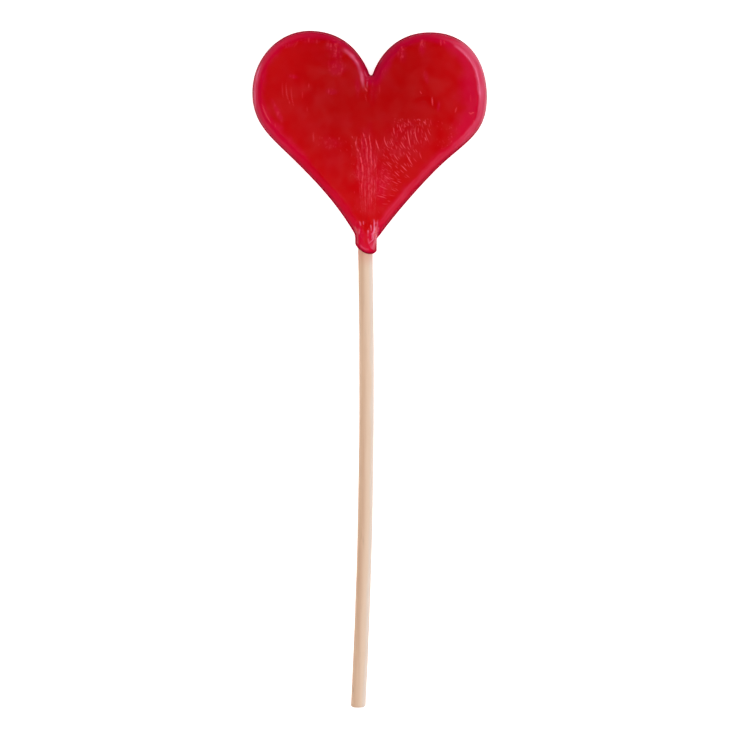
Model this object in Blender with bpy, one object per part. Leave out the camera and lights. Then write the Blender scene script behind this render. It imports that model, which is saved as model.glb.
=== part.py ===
"""Heart lollipop: a pressed heart of red boiled sugar on a round wooden stick, lying on its flat back.

Two solids. The candy is a heart-shaped slab with a pressed rim, a crowned face and a short collar that grips the
stick. The stick is a slightly bowed dowel whose upper fifth is sunk in a blind hole in the candy.

Frame: +Z up, +Y from the stick's foot towards the heart, +X to the right of the shown face. The origin is on the
flat back, under the middle of the heart. Lengths are in metres, and MM turns millimetres into them.
"""

import math
import random

import bmesh
import bpy
import numpy as np
from mathutils import Vector
from mathutils.geometry import delaunay_2d_cdt, interpolate_bezier

MM = 0.001

# Candy, seen from above. Each outline point is x, y, heading in degrees, handle in, handle out.
THICKNESS = 8.0 * MM
MIDDLE = THICKNESS / 2
LEFT_HALF = (
    (-0.5, 12.7, 115, 0.0, 5.6),
    (-15.4, 23.1, 178, 8.4, 8.8),
    (-31.1, 5.7, 273, 9.8, 8.0),
    (-19.4, -11.8, 315, 8.4, 6.4),
    (-4.37, -30.1, 301, 9.6, 0.6),
    (-3.87, -31.7, 270, 0.6, 0.0),
)
RIGHT_HALF = (
    (1.2, 12.8, 66, 0.0, 5.4),
    (15.6, 22.7, 1, 7.7, 10.1),
    (31.05, 5.5, 270, 10.1, 8.7),
    (20.4, -11.1, 221, 8.3, 6.0),
    (2.7, -31.0, 234, 7.9, 0.8),
    (1.85, -32.4, 270, 0.7, 0.0),
)
CLEFT_BOTTOM = (0.33, 11.3)
CLEFT_HANDLE = 0.45
OUTLINE_STEP = 1.1 * MM
CLEFT_STEP = 0.4 * MM

# Candy, across its thickness: how far in from the rim, and how far from the middle plane
FRONT_PROFILE = (
    (0.0, 0.0),
    (0.12, 0.72),
    (0.45, 1.35),
    (1.0, 1.85),
    (2.1, 2.70),
    (3.0, 2.92),
    (5.0, 3.28),
    (7.0, 3.60),
    (9.0, 3.83),
    (12.0, 4.0),
)
BACK_PROFILE = ((0.0, 0.0), (0.12, 0.72), (0.45, 1.35), (1.0, 1.95), (2.6, 3.30), (3.6, 3.85), (4.6, 4.0))
RIM_INSETS = (0.12, 0.45, 1.0, 2.1, 3.0)
BACK_INSETS = (0.12, 0.45, 1.0, 2.6, 3.6, 4.6)

# Spacing of the mesh's points, and their least distance to the rim
FACE_GRID = 2.0 * MM
FACE_GRID_RIM_GAP = 3.4 * MM
FINE_RIM_GAP = 0.3 * MM
RING_SPACING = 0.1 * MM
RING_CLEAR_SHARE = 0.97
FOOT_SPACING = 0.25 * MM
FOOT_RIM_GAP = 1.0 * MM
GRID_SPACING_SHARE = 0.55
ROW_SHARE = math.sqrt(0.75)
WELD = 0.001 * MM

# Crease that runs down from the cleft between the two lobes: top, foot, depth and half width at the top
CREASE_TOP = (0.4 * MM, 11.0 * MM)
CREASE_FOOT = (0.9 * MM, 0.5 * MM)
CREASE_DEPTH = 0.35 * MM
CREASE_HALF_WIDTH = 1.8 * MM
CREASE_END_WIDTH = 0.5
CREASE_STATIONS = 8

# Collar that grips the stick
COLLAR_RADIUS = 2.85 * MM
COLLAR_AXIS = -1.0 * MM
COLLAR_BLEND = (-32.4 * MM, -28.0 * MM)
LIP_LOW = (0.0 * MM, -36.25 * MM)
LIP_RISE = 1.3 * MM
LIP_ROUND = 0.55 * MM
LIP_POINTS = 18
COLLAR_GRID = 0.8 * MM
COLLAR_TOP = -26.0 * MM

# Relief on the front: the insets between which it grows to its full height, and how narrow a ridge ends
RELIEF_FADE = (0.3 * MM, 2.0 * MM)
RIDGE_END_WIDTH = 0.4

# Lumps where the candy was pinched round the stick: start, end, height and half width
PINCH_LUMPS = (
    ((-2.5 * MM, -28.0 * MM), (-2.0 * MM, -32.6 * MM), 0.35 * MM, 1.0 * MM),
    ((1.1 * MM, -27.2 * MM), (0.2 * MM, -33.0 * MM), 0.45 * MM, 1.0 * MM),
)
LUMP_STATIONS = 5

# Folds in the candy over the stick, which close up towards the tip
FOLD_STRENGTHS = (0.4, 0.9, 1.0, 1.0, 0.7, 0.5)
FOLD_PITCH = 1.35 * MM
FOLD_CLOSING = 0.5
FOLD_TOP = -5.0 * MM
FOLD_FOOT = -26.5 * MM
FOLD_AXIS = (-1.2 * MM, -0.3 * MM)
FOLD_HEIGHT = 0.30 * MM
FOLD_SWELL_POWER = 0.5
FOLD_LATEST_START = 0.1
FOLD_WAVE = 0.1 * MM
FOLD_WAVE_TURN = 8.0
FOLD_STATIONS = 16
FOLD_SEED = 11

# Wrinkles that fan out to the right of the folds: start in millimetres, heading, whole turn, length in millimetres
FAN_WRINKLES = (
    (10.0, -3.2, -86, 12, 5.3),
    (12.2, -2.3, -104, 50, 5.2),
    (14.5, -3.7, -75, 12, 3.3),
    (6.2, -2.6, -84, 10, 2.2),
    (7.8, -2.0, -76, 8, 2.4),
    (3.9, -4.9, -96, 56, 3.8),
    (5.4, -5.6, -74, 16, 2.4),
    (8.1, -6.3, -62, 12, 2.6),
    (9.5, -9.4, -64, 6, 4.0),
    (13.1, -9.2, -76, 12, 2.0),
    (6.2, -9.6, -58, 10, 2.6),
    (8.1, -12.5, -48, 8, 2.6),
    (4.2, -11.6, -52, 10, 2.6),
    (6.4, -14.2, -48, 8, 2.2),
    (3.6, -15.2, -42, 12, 2.4),
    (5.7, -16.7, -36, 20, 2.3),
    (2.2, -17.9, -30, 10, 3.0),
    (1.6, -20.7, -8, -16, 3.1),
)
FAN_STATIONS = 5
FAN_HEIGHT = 0.22 * MM
FAN_HALF_WIDTH = 0.45 * MM

# Stick: an arc of large radius, highest to the right at its apex
STICK_RADIUS = 2.0 * MM
STICK_LENGTH = 150.0 * MM
STICK_FOOT_Y = -156.2 * MM
STICK_APEX = (-0.82 * MM, -70.0 * MM)
STICK_BEND_RADIUS = 1660 * MM
STICK_CHAMFER = 0.55 * MM
STICK_STATIONS = 26
STICK_BEVEL_RESOLUTION = 7
SEAT_GAP = 0.3 * MM
SEAT_BEYOND = 4.0 * MM

CANDY_RED = (0.47, 0.004, 0.012, 1.0)
CANDY_ROUGHNESS = 0.15
WOOD_TAN = (0.74, 0.52, 0.37, 1.0)
WOOD_ROUGHNESS = 0.6
SHARP_ANGLE = math.radians(35)


def clear_scene():
    """Start from an empty scene."""
    for obj in list(bpy.data.objects):
        bpy.data.objects.remove(obj, do_unlink=True)


def new_collection(name):
    """Make a collection in the scene."""
    collection = bpy.data.collections.new(name)
    bpy.context.scene.collection.children.link(collection)
    return collection


def principled(name, colour, roughness):
    """A plain Principled material in one colour."""
    material = bpy.data.materials.new(name)
    material.use_nodes = True
    shader = material.node_tree.nodes["Principled BSDF"]
    shader.inputs["Base Color"].default_value = colour
    shader.inputs["Roughness"].default_value = roughness
    shader.inputs["Metallic"].default_value = 0.0
    material.diffuse_color = colour
    return material


def smoothstep(low, high, value):
    """0 below low, 1 above high, and a smooth turn between."""
    t = np.clip((value - low) / (high - low), 0.0, 1.0)
    return t * t * (3 - 2 * t)


def profile_height(profile, inset):
    """Distance from the middle plane at each inset from the rim, from a profile in millimetres."""
    insets, heights = np.array(profile).T * MM
    return np.interp(inset, insets, heights)


def distance_to_path(points, path):
    """Shortest distance from each point to an open path, both in the plane."""
    best = np.full(len(points), np.inf)
    for start, end in zip(path[:-1], path[1:]):
        along = end - start
        length_squared = max(float(along @ along), 1e-18)
        share = np.clip(((points - start) @ along) / length_squared, 0.0, 1.0)
        gap = points - (start + share[:, None] * along)
        best = np.minimum(best, np.hypot(gap[:, 0], gap[:, 1]))
    return best


def stick_x(y):
    """Sideways place of the stick's axis at a height y, on its arc."""
    return STICK_APEX[0] - (y - STICK_APEX[1]) ** 2 / (2 * STICK_BEND_RADIUS)


def half_outline(keys):
    """Points from the cleft's flank over one lobe and down to the collar, at even steps."""
    points = []
    for here, there in zip(keys[:-1], keys[1:]):
        start, end = Vector(here[:2]) * MM, Vector(there[:2]) * MM
        leave, arrive = math.radians(here[2]), math.radians(there[2])
        first = start + Vector((math.cos(leave), math.sin(leave))) * here[4] * MM
        second = end - Vector((math.cos(arrive), math.sin(arrive))) * there[3] * MM
        steps = max(3, round((end - start).length / OUTLINE_STEP))
        run = interpolate_bezier(start.to_3d(), first.to_3d(), second.to_3d(), end.to_3d(), steps + 1)
        points += [(p.x, p.y) for p in run[:-1]]
    points.append((keys[-1][0] * MM, keys[-1][1] * MM))
    return points


def cleft_arc():
    """Points round the bottom of the cleft, from its right flank to its left one."""
    low = Vector(CLEFT_BOTTOM) * MM
    run = []
    for keys, side in ((RIGHT_HALF, 1), (LEFT_HALF, -1)):
        flank = Vector(keys[0][:2]) * MM
        heading = math.radians(keys[0][2])
        pull = Vector((math.cos(heading), math.sin(heading))) * CLEFT_HANDLE * MM
        level = low + Vector((side * CLEFT_HANDLE * MM, 0))
        steps = max(3, round((flank - low).length / CLEFT_STEP))
        arc = interpolate_bezier(flank.to_3d(), (flank - pull).to_3d(), level.to_3d(), low.to_3d(), steps + 1)
        half = [(p.x, p.y) for p in arc[1:]]
        run += half if side > 0 else half[-2::-1]
    return run


def lip_y(x):
    """Where the collar's lip ends, lowest a little right of the stick's axis."""
    return LIP_LOW[1] + LIP_RISE * ((x - LIP_LOW[0]) / COLLAR_RADIUS) ** 2


def lip_arc():
    """Points round the collar's rounded end, from its left side to its right one."""
    run = []
    for step in range(1, LIP_POINTS):
        turn = math.pi * (1 + step / LIP_POINTS)
        x = COLLAR_AXIS + COLLAR_RADIUS * math.cos(turn)
        run.append((x, lip_y(x) + LIP_ROUND * (1 - abs(math.sin(turn)))))
    return run


def candy_outline():
    """The candy's whole outline, anticlockwise from above, as an array."""
    left, right = half_outline(LEFT_HALF), half_outline(RIGHT_HALF)
    return np.array(left + lip_arc() + right[::-1] + cleft_arc()[:-1])


def collar_height(points):
    """Distance of the collar's round surface from the middle plane."""
    rise = np.clip((points[:, 1] - lip_y(points[:, 0])) / LIP_ROUND, 0.0, 1.0)
    radius = COLLAR_RADIUS * np.sqrt(1 - (1 - rise) ** 2)
    return np.sqrt(np.clip(radius**2 - (points[:, 0] - COLLAR_AXIS) ** 2, 0.0, None))


def slab_height(points, inset, profile):
    """Distance of a face from the middle plane: the pressed slab, turning into the round collar."""
    slab = profile_height(profile, inset)
    share = smoothstep(COLLAR_BLEND[0], COLLAR_BLEND[1], points[:, 1])
    return share * slab + (1 - share) * collar_height(points)


def swelling(path, height, half_width):
    """A ridge along a path, as rows of x, y, height and half width, swelling from nothing at both ends."""
    share = np.sin(np.linspace(0.0, math.pi, len(path)))
    width = RIDGE_END_WIDTH + (1 - RIDGE_END_WIDTH) * share
    return np.column_stack([path, height * share, half_width * width])


def stick_folds():
    """The folds over the stick, from left to right."""
    rng = random.Random(FOLD_SEED)
    folds = []
    for index, strength in enumerate(FOLD_STRENGTHS):
        across = (index - (len(FOLD_STRENGTHS) - 1) / 2) * FOLD_PITCH
        phase = rng.uniform(0, math.tau)
        height = FOLD_HEIGHT * strength
        starts_late = rng.uniform(0, FOLD_LATEST_START)
        rows = []
        for step in range(FOLD_STATIONS + 1):
            t = starts_late + (1 - starts_late) * step / FOLD_STATIONS
            spread = 1 - FOLD_CLOSING * t
            axis = FOLD_AXIS[0] + (FOLD_AXIS[1] - FOLD_AXIS[0]) * t
            wave = FOLD_WAVE * math.sin(phase + FOLD_WAVE_TURN * t)
            swell = math.sin(math.pi * step / FOLD_STATIONS) ** FOLD_SWELL_POWER
            rows.append((
                axis + across * spread + wave,
                FOLD_TOP + (FOLD_FOOT - FOLD_TOP) * t,
                height * swell,
                FOLD_PITCH * spread / 2,
            ))
        folds.append(np.array(rows))
    return folds


def fan_wrinkles():
    """The short curved wrinkles beside the folds."""
    wrinkles = []
    for x, y, heading, turn, length in FAN_WRINKLES:
        path = [(x * MM, y * MM)]
        for step in range(1, FAN_STATIONS):
            share = (step - 1) / (FAN_STATIONS - 2)
            angle = math.radians(heading + turn * share)
            stride = length * MM / (FAN_STATIONS - 1)
            path.append((path[-1][0] + math.cos(angle) * stride, path[-1][1] + math.sin(angle) * stride))
        wrinkles.append(swelling(np.array(path), FAN_HEIGHT, FAN_HALF_WIDTH))
    return wrinkles


def pinch_lumps():
    """The rounded lumps at the neck of the collar."""
    return [
        swelling(np.linspace(start, end, LUMP_STATIONS), height, half_width)
        for start, end, height, half_width in PINCH_LUMPS
    ]


def cleft_crease():
    """The crease under the cleft, which fades out downwards, as rows of x, y, depth and half width."""
    path = np.linspace(CREASE_TOP, CREASE_FOOT, CREASE_STATIONS)
    left = np.linspace(1.0, 0.0, CREASE_STATIONS)
    width = CREASE_END_WIDTH + (1 - CREASE_END_WIDTH) * left
    return np.column_stack([path, CREASE_DEPTH * left, CREASE_HALF_WIDTH * width])


def ridge_relief(points, ridges):
    """How far the ridges stand above the face at each point, the tallest one counting."""
    relief = np.zeros(len(points))
    for ridge in ridges:
        for start, end in zip(ridge[:-1], ridge[1:]):
            along = end[:2] - start[:2]
            share = np.clip(((points - start[:2]) @ along) / (along @ along), 0.0, 1.0)[:, None]
            nearest = start + share * (end - start)
            gap = np.hypot(*(points - nearest[:, :2]).T)
            relief = np.maximum(relief, nearest[:, 2] * np.clip(1 - gap / nearest[:, 3], 0.0, 1.0))
    return relief


def inset_rings(outline, insets):
    """Copies of the outline moved inwards, without the points that would cross over at a narrow place."""
    closed = np.vstack([outline, outline[:1]])
    along = np.roll(outline, -1, axis=0) - np.roll(outline, 1, axis=0)
    along /= np.hypot(along[:, 0], along[:, 1])[:, None]
    inwards = np.stack([-along[:, 1], along[:, 0]], axis=1)
    rings = []
    for inset in insets:
        ring = outline + inwards * inset * MM
        clear = distance_to_path(ring, closed) > RING_CLEAR_SHARE * inset * MM
        rings.append(ring[clear])
    return np.vstack(rings)


def ridge_feet(ridges):
    """Points along both feet of each ridge, so that the mesh follows it."""
    points = []
    for ridge in ridges:
        along = np.gradient(ridge[:, :2], axis=0)
        along /= np.hypot(along[:, 0], along[:, 1])[:, None]
        side = np.stack([-along[:, 1], along[:, 0]], axis=1) * ridge[:, 3:4]
        points += [ridge[:, :2] + side, ridge[:, :2] - side]
    return np.vstack(points)


def hex_grid(outline, pitch, top=math.inf):
    """A grid of evenly spaced points over the outline's box, up to a height."""
    low, high = outline.min(axis=0), np.minimum(outline.max(axis=0), (math.inf, top))
    rows = int((high[1] - low[1]) / (pitch * ROW_SHARE)) + 1
    columns = int((high[0] - low[0]) / pitch) + 1
    grid = [
        (low[0] + (column + 0.5 * (row % 2)) * pitch, low[1] + row * pitch * ROW_SHARE)
        for row in range(rows)
        for column in range(columns)
    ]
    return np.array(grid)


def spaced(groups, taken, rim):
    """The points already taken, then those of each group that keep its spacing to them and its gap to the rim."""
    for points, spacing, rim_gap in groups:
        for point in points[distance_to_path(points, rim) > rim_gap]:
            if not len(taken) or np.hypot(*(taken - point).T).min() > spacing:
                taken = np.vstack([taken, point])
    return taken


def face_sheet(outline, crests, inner, height, up):
    """One face of the candy as points and triangles, with edges along its outline and along each crest."""
    count = len(outline)
    flat = [Vector(p) for p in np.vstack([outline, inner])]
    edges = [(i, (i + 1) % count) for i in range(count)]
    first = count
    for crest in crests:
        edges += [(i, i + 1) for i in range(first, first + len(crest) - 1)]
        first += len(crest)
    points, _, triangles, _, _, _ = delaunay_2d_cdt(flat, edges, [], 1, 1e-7)
    points = np.array([tuple(p) for p in points])
    offset = height(points)
    offset[:count] = 0.0
    level = MIDDLE + (1 if up else -1) * offset
    turned = [tuple(t) if up else tuple(reversed(t)) for t in triangles]
    return np.column_stack([points, level]), turned


def candy_mesh():
    """The heart with its collar, solid, before the stick's seat is bored."""
    outline = candy_outline()
    rim = np.vstack([outline, outline[:1]])
    ridges = stick_folds() + fan_wrinkles() + pinch_lumps()
    crease = [cleft_crease()]

    def front(points):
        inset = distance_to_path(points, rim)
        carved = ridge_relief(points, ridges) - ridge_relief(points, crease)
        return slab_height(points, inset, FRONT_PROFILE) + carved * smoothstep(*RELIEF_FADE, inset)

    def back(points):
        return slab_height(points, distance_to_path(points, rim), BACK_PROFILE)

    lines = [ridge[:, :2] for ridge in ridges + crease]
    lines = [line for line in lines if distance_to_path(line, rim).min() > FINE_RIM_GAP]
    collar = (hex_grid(outline, COLLAR_GRID, COLLAR_TOP), GRID_SPACING_SHARE * COLLAR_GRID, FINE_RIM_GAP)
    front_points = spaced(
        (
            (ridge_feet(ridges + crease), FOOT_SPACING, FOOT_RIM_GAP),
            (inset_rings(outline, RIM_INSETS), RING_SPACING, RING_SPACING),
            collar,
            (hex_grid(outline, FACE_GRID), GRID_SPACING_SHARE * FACE_GRID, FACE_GRID_RIM_GAP),
        ),
        np.vstack(lines),
        rim,
    )
    back_points = spaced(
        ((inset_rings(outline, BACK_INSETS), RING_SPACING, RING_SPACING), collar),
        np.zeros((0, 2)),
        rim,
    )
    build = bmesh.new()
    for crests, inner, height, up in ((lines, front_points, front, True), ([], back_points, back, False)):
        points, triangles = face_sheet(outline, crests, inner, height, up)
        corners = [build.verts.new(p) for p in points]
        for triangle in triangles:
            build.faces.new([corners[i] for i in triangle])
    bmesh.ops.remove_doubles(build, verts=build.verts, dist=WELD)
    bmesh.ops.recalc_face_normals(build, faces=build.faces)
    mesh = bpy.data.meshes.new("heart_candy")
    build.to_mesh(mesh)
    build.free()
    return mesh


def stick_curve(name, radius, top, foot, chamfer, collection):
    """A round rod along the stick's arc, from a top end to a foot end, with both ends eased by a chamfer."""
    curve = bpy.data.curves.new(name, "CURVE")
    curve.dimensions = "3D"
    curve.bevel_depth = radius
    curve.bevel_resolution = STICK_BEVEL_RESOLUTION
    curve.use_fill_caps = True
    heights = [top - (top - foot) * step / STICK_STATIONS for step in range(STICK_STATIONS + 1)]
    shrink = [1.0] * len(heights)
    if chamfer:
        heights = [top, top - chamfer] + heights[1:-1] + [foot + chamfer, foot]
        ease = 1 - chamfer / radius
        shrink = [ease] + [1.0] * (len(heights) - 2) + [ease]
    spline = curve.splines.new("POLY")
    spline.points.add(len(heights) - 1)
    for point, y, share in zip(spline.points, heights, shrink):
        point.co = (stick_x(y), y, MIDDLE, 1.0)
        point.radius = share
    rod = bpy.data.objects.new(name, curve)
    collection.objects.link(rod)
    return rod


def as_mesh_object(curve_object, collection):
    """The same shape as a closed mesh object, in place of the curve object."""
    graph = bpy.context.evaluated_depsgraph_get()
    mesh = bpy.data.meshes.new_from_object(curve_object.evaluated_get(graph))
    build = bmesh.new()
    build.from_mesh(mesh)
    bmesh.ops.remove_doubles(build, verts=build.verts, dist=WELD)
    bmesh.ops.recalc_face_normals(build, faces=build.faces)
    build.to_mesh(mesh)
    build.free()
    name = curve_object.name
    placed = curve_object.matrix_world.copy()
    bpy.data.objects.remove(curve_object, do_unlink=True)
    solid = bpy.data.objects.new(name, mesh)
    solid.matrix_world = placed
    collection.objects.link(solid)
    return solid


def make_stick(parts):
    """The wooden dowel."""
    top = STICK_FOOT_Y + STICK_LENGTH
    stick = stick_curve("stick", STICK_RADIUS, top, STICK_FOOT_Y, STICK_CHAMFER, parts)
    stick.data.materials.append(principled("wood", WOOD_TAN, WOOD_ROUGHNESS))
    return stick


def make_candy(parts, cutters):
    """The heart, with a blind seat bored along the stick's arc."""
    candy = bpy.data.objects.new("heart_candy", candy_mesh())
    parts.objects.link(candy)
    candy.data.materials.append(principled("candy", CANDY_RED, CANDY_ROUGHNESS))
    top = STICK_FOOT_Y + STICK_LENGTH + SEAT_GAP
    bore = stick_curve("stick_seat", STICK_RADIUS + SEAT_GAP, top, LIP_LOW[1] - SEAT_BEYOND, 0.0, cutters)
    bore = as_mesh_object(bore, cutters)
    bore.hide_render = True
    bore.display_type = "WIRE"
    cut = candy.modifiers.new("stick_seat", "BOOLEAN")
    cut.operation = "DIFFERENCE"
    cut.solver = "EXACT"
    cut.object = bore
    candy.data.shade_smooth()
    candy.data.set_sharp_from_angle(angle=SHARP_ANGLE)
    return candy


def main():
    """Build the lollipop in its own collection."""
    clear_scene()
    parts = new_collection("heart_lollipop")
    cutters = new_collection("cutters")
    make_stick(parts)
    make_candy(parts, cutters)


main()
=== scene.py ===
"""Heart lollipop: the looks of a red boiled-sugar heart on a wooden stick, lying on a white table.

The candy and the stick are built again at full detail over the CAD solids, from the same sizes. Lengths are
in metres, and MM turns millimetres into them. +Y runs from the stick's foot to the heart, and +Z out of the
shown face.
"""

import logging
import math
import random
from dataclasses import dataclass, field
from enum import Enum

import bmesh
import bpy
import numpy as np
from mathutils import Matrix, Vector
from mathutils.geometry import delaunay_2d_cdt, interpolate_bezier


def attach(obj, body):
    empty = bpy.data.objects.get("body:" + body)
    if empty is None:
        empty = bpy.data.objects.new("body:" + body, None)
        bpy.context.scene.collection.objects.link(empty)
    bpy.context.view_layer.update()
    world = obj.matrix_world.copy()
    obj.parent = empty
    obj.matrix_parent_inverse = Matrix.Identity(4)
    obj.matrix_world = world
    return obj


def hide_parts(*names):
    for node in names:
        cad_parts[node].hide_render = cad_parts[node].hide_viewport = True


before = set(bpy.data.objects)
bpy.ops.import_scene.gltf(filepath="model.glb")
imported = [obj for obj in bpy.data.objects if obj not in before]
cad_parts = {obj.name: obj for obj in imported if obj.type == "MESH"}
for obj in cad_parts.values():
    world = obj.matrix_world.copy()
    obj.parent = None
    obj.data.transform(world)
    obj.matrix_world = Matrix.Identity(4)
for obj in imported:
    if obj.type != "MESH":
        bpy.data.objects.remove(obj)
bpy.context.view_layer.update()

MM = 0.001
log = logging.getLogger("heart_lollipop")

Points = np.ndarray
Colour = tuple[float, float, float]

# The numbers that the candy's mesh carries for its finish: a painted dark shade line at the rim, the face's
# lightness, its crimson, painted pink highlights, and painted crest highlights with pale streaks
PAINTS = ("edge", "light", "crimson", "pink", "bloom_and_highlight")

# A ridge's paleness, a painted highlight on its crest, follows its section to this power, so that it stays
# near the crest
PALE_POWER = 1.5

# The share of its half width that a swelling ridge keeps at its ends
TIP_WIDTH = 0.4

# Blender's number for a triangulation that keeps only what is inside the outline
INSIDE_ONLY = 1


class Slot(Enum):
    """The record's material slots."""

    CANDY = "candy"
    WOOD = "wood"


class Face(Enum):
    """The two faces of the candy, and which way each one stands from the middle plane."""

    FRONT = 1
    BACK = -1


def smoothstep(low: float, high: float, value: Points) -> Points:
    """Turn smoothly from 0 to 1.

    Args:
        low: Value at which the result is still 0.
        high: Value at which the result is 1.
        value: Values to turn.

    Returns:
        The results, between 0 and 1.
    """
    t = np.clip((value - low) / (high - low), 0.0, 1.0)
    return t * t * (3 - 2 * t)


def distance_to_path(points: Points, path: Points) -> Points:
    """Measure how far points lie from an open path in the plane.

    Args:
        points: The points, one row each.
        path: The path's corners, one row each.

    Returns:
        The shortest distance from each point.
    """
    best = np.full(len(points), np.inf)
    for start, end in zip(path[:-1], path[1:]):
        along = end - start
        length_squared = max(float(along @ along), 1e-18)
        share = np.clip(((points - start) @ along) / length_squared, 0.0, 1.0)
        gap = points - (start + share[:, None] * along)
        best = np.minimum(best, np.hypot(gap[:, 0], gap[:, 1]))
    return best


@dataclass(frozen=True)
class SmoothNoise:
    """Seeded noise that varies smoothly over the plane, between -1 and 1."""

    seed: int
    size: float
    lattice: int = 64

    def at(self, points: Points) -> Points:
        """Read the noise.

        Args:
            points: Places in the plane, one row each.

        Returns:
            One value for each point.
        """
        values = np.random.default_rng(self.seed).uniform(-1, 1, (self.lattice, self.lattice))
        cell = np.floor(points / self.size).astype(int)
        part = points / self.size - cell
        part = part * part * (3 - 2 * part)
        column, row = cell[:, 0] % self.lattice, cell[:, 1] % self.lattice
        right, above = (column + 1) % self.lattice, (row + 1) % self.lattice
        low = values[column, row] * (1 - part[:, 0]) + values[right, row] * part[:, 0]
        high = values[column, above] * (1 - part[:, 0]) + values[right, above] * part[:, 0]
        return low * (1 - part[:, 1]) + high * part[:, 1]


@dataclass(frozen=True)
class TwoScaleNoise:
    """Smooth noise with a share of finer noise on top."""

    coarse: SmoothNoise
    fine: SmoothNoise
    share: float

    def at(self, points: Points) -> Points:
        """The sum of both at each point."""
        return self.coarse.at(points) + self.share * self.fine.at(points)


@dataclass(frozen=True)
class OutlineKey:
    """A point of the heart's outline in millimetres, with its heading in degrees and its two handles."""

    x: float
    y: float
    heading: float
    arrive: float = 0.0
    leave: float = 0.0

    def place(self) -> Vector:
        """Where the point is, in metres."""
        return Vector((self.x, self.y, 0.0)) * MM

    def forward(self) -> Vector:
        """The direction of travel, as a unit vector."""
        return Vector((math.cos(math.radians(self.heading)), math.sin(math.radians(self.heading)), 0.0))


@dataclass
class HeartOutline:
    """The candy's outline from above: two lobes, the cleft between them and the collar round the stick."""

    left: tuple[OutlineKey, ...] = (
        OutlineKey(-0.5, 12.7, 115, leave=5.6),
        OutlineKey(-15.4, 23.1, 178, 8.4, 8.8),
        OutlineKey(-31.1, 5.7, 273, 9.8, 8.0),
        OutlineKey(-19.4, -11.8, 315, 8.4, 6.4),
        OutlineKey(-4.37, -30.1, 301, 9.6, 0.6),
        OutlineKey(-3.87, -31.7, 270, 0.6),
    )
    right: tuple[OutlineKey, ...] = (
        OutlineKey(1.2, 12.8, 66, leave=5.4),
        OutlineKey(15.6, 22.7, 1, 7.7, 10.1),
        OutlineKey(31.05, 5.5, 270, 10.1, 8.7),
        OutlineKey(20.4, -11.1, 221, 8.3, 6.0),
        OutlineKey(2.7, -31.0, 234, 7.9, 0.8),
        OutlineKey(1.85, -32.4, 270, 0.7),
    )
    cleft_bottom: tuple[float, float] = (0.33, 11.3)
    cleft_handle: float = 0.45
    step: float = 0.42 * MM
    cleft_step: float = 0.12 * MM
    collar_axis: float = -1.0 * MM
    collar_radius: float = 2.85 * MM
    lip_low: tuple[float, float] = (0.0 * MM, -36.25 * MM)
    lip_rise: float = 1.3 * MM
    lip_round: float = 0.55 * MM
    lip_points: int = 40

    def half(self, keys: tuple[OutlineKey, ...]) -> list[tuple[float, float]]:
        """Walk one side of the heart.

        Args:
            keys: The side's keys, from the cleft down to the collar.

        Returns:
            Points from the cleft's flank over the lobe and down to the collar.
        """
        points = []
        for here, there in zip(keys[:-1], keys[1:]):
            start, end = here.place(), there.place()
            first = start + here.forward() * here.leave * MM
            second = end - there.forward() * there.arrive * MM
            steps = max(4, round((end - start).length / self.step))
            run = interpolate_bezier(start, first, second, end, steps + 1)
            points += [(p.x, p.y) for p in run[:-1]]
        points.append((keys[-1].x * MM, keys[-1].y * MM))
        return points

    def cleft(self) -> list[tuple[float, float]]:
        """Walk round the bottom of the cleft.

        Returns:
            Points from the right flank to the left one, without the flanks' own points.
        """
        low = Vector((*self.cleft_bottom, 0.0)) * MM
        run = []
        for key, side in ((self.right[0], 1), (self.left[0], -1)):
            flank = key.place()
            pull = key.forward() * self.cleft_handle * MM
            level = low + Vector((side * self.cleft_handle * MM, 0.0, 0.0))
            steps = max(4, round((flank - low).length / self.cleft_step))
            half = [(p.x, p.y) for p in interpolate_bezier(flank, flank - pull, level, low, steps + 1)]
            run += half[1:] if side > 0 else half[-2:0:-1]
        return run

    def lip_y(self, x: Points) -> Points:
        """Where the collar's lip ends at each x, lowest a little right of the stick's axis."""
        return self.lip_low[1] + self.lip_rise * ((x - self.lip_low[0]) / self.collar_radius) ** 2

    def lip(self) -> list[tuple[float, float]]:
        """Points round the collar's rounded end, from its left side to its right one."""
        run = []
        for step in range(1, self.lip_points):
            turn = math.pi * (1 + step / self.lip_points)
            x = self.collar_axis + self.collar_radius * math.cos(turn)
            run.append((x, self.lip_y(x) + self.lip_round * (1 - abs(math.sin(turn)))))
        return run

    def points(self) -> Points:
        """The whole outline, anticlockwise from above."""
        return np.array(self.half(self.left) + self.lip() + self.half(self.right)[::-1] + self.cleft())

    def collar_height(self, points: Points) -> Points:
        """Measure the collar's round surface.

        Args:
            points: Places in the plane.

        Returns:
            Its distance from the middle plane at each place.
        """
        rise = np.clip((points[:, 1] - self.lip_y(points[:, 0])) / self.lip_round, 0.0, 1.0)
        radius = self.collar_radius * np.sqrt(1 - (1 - rise) ** 2)
        return np.sqrt(np.clip(radius**2 - (points[:, 0] - self.collar_axis) ** 2, 0.0, None))


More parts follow.
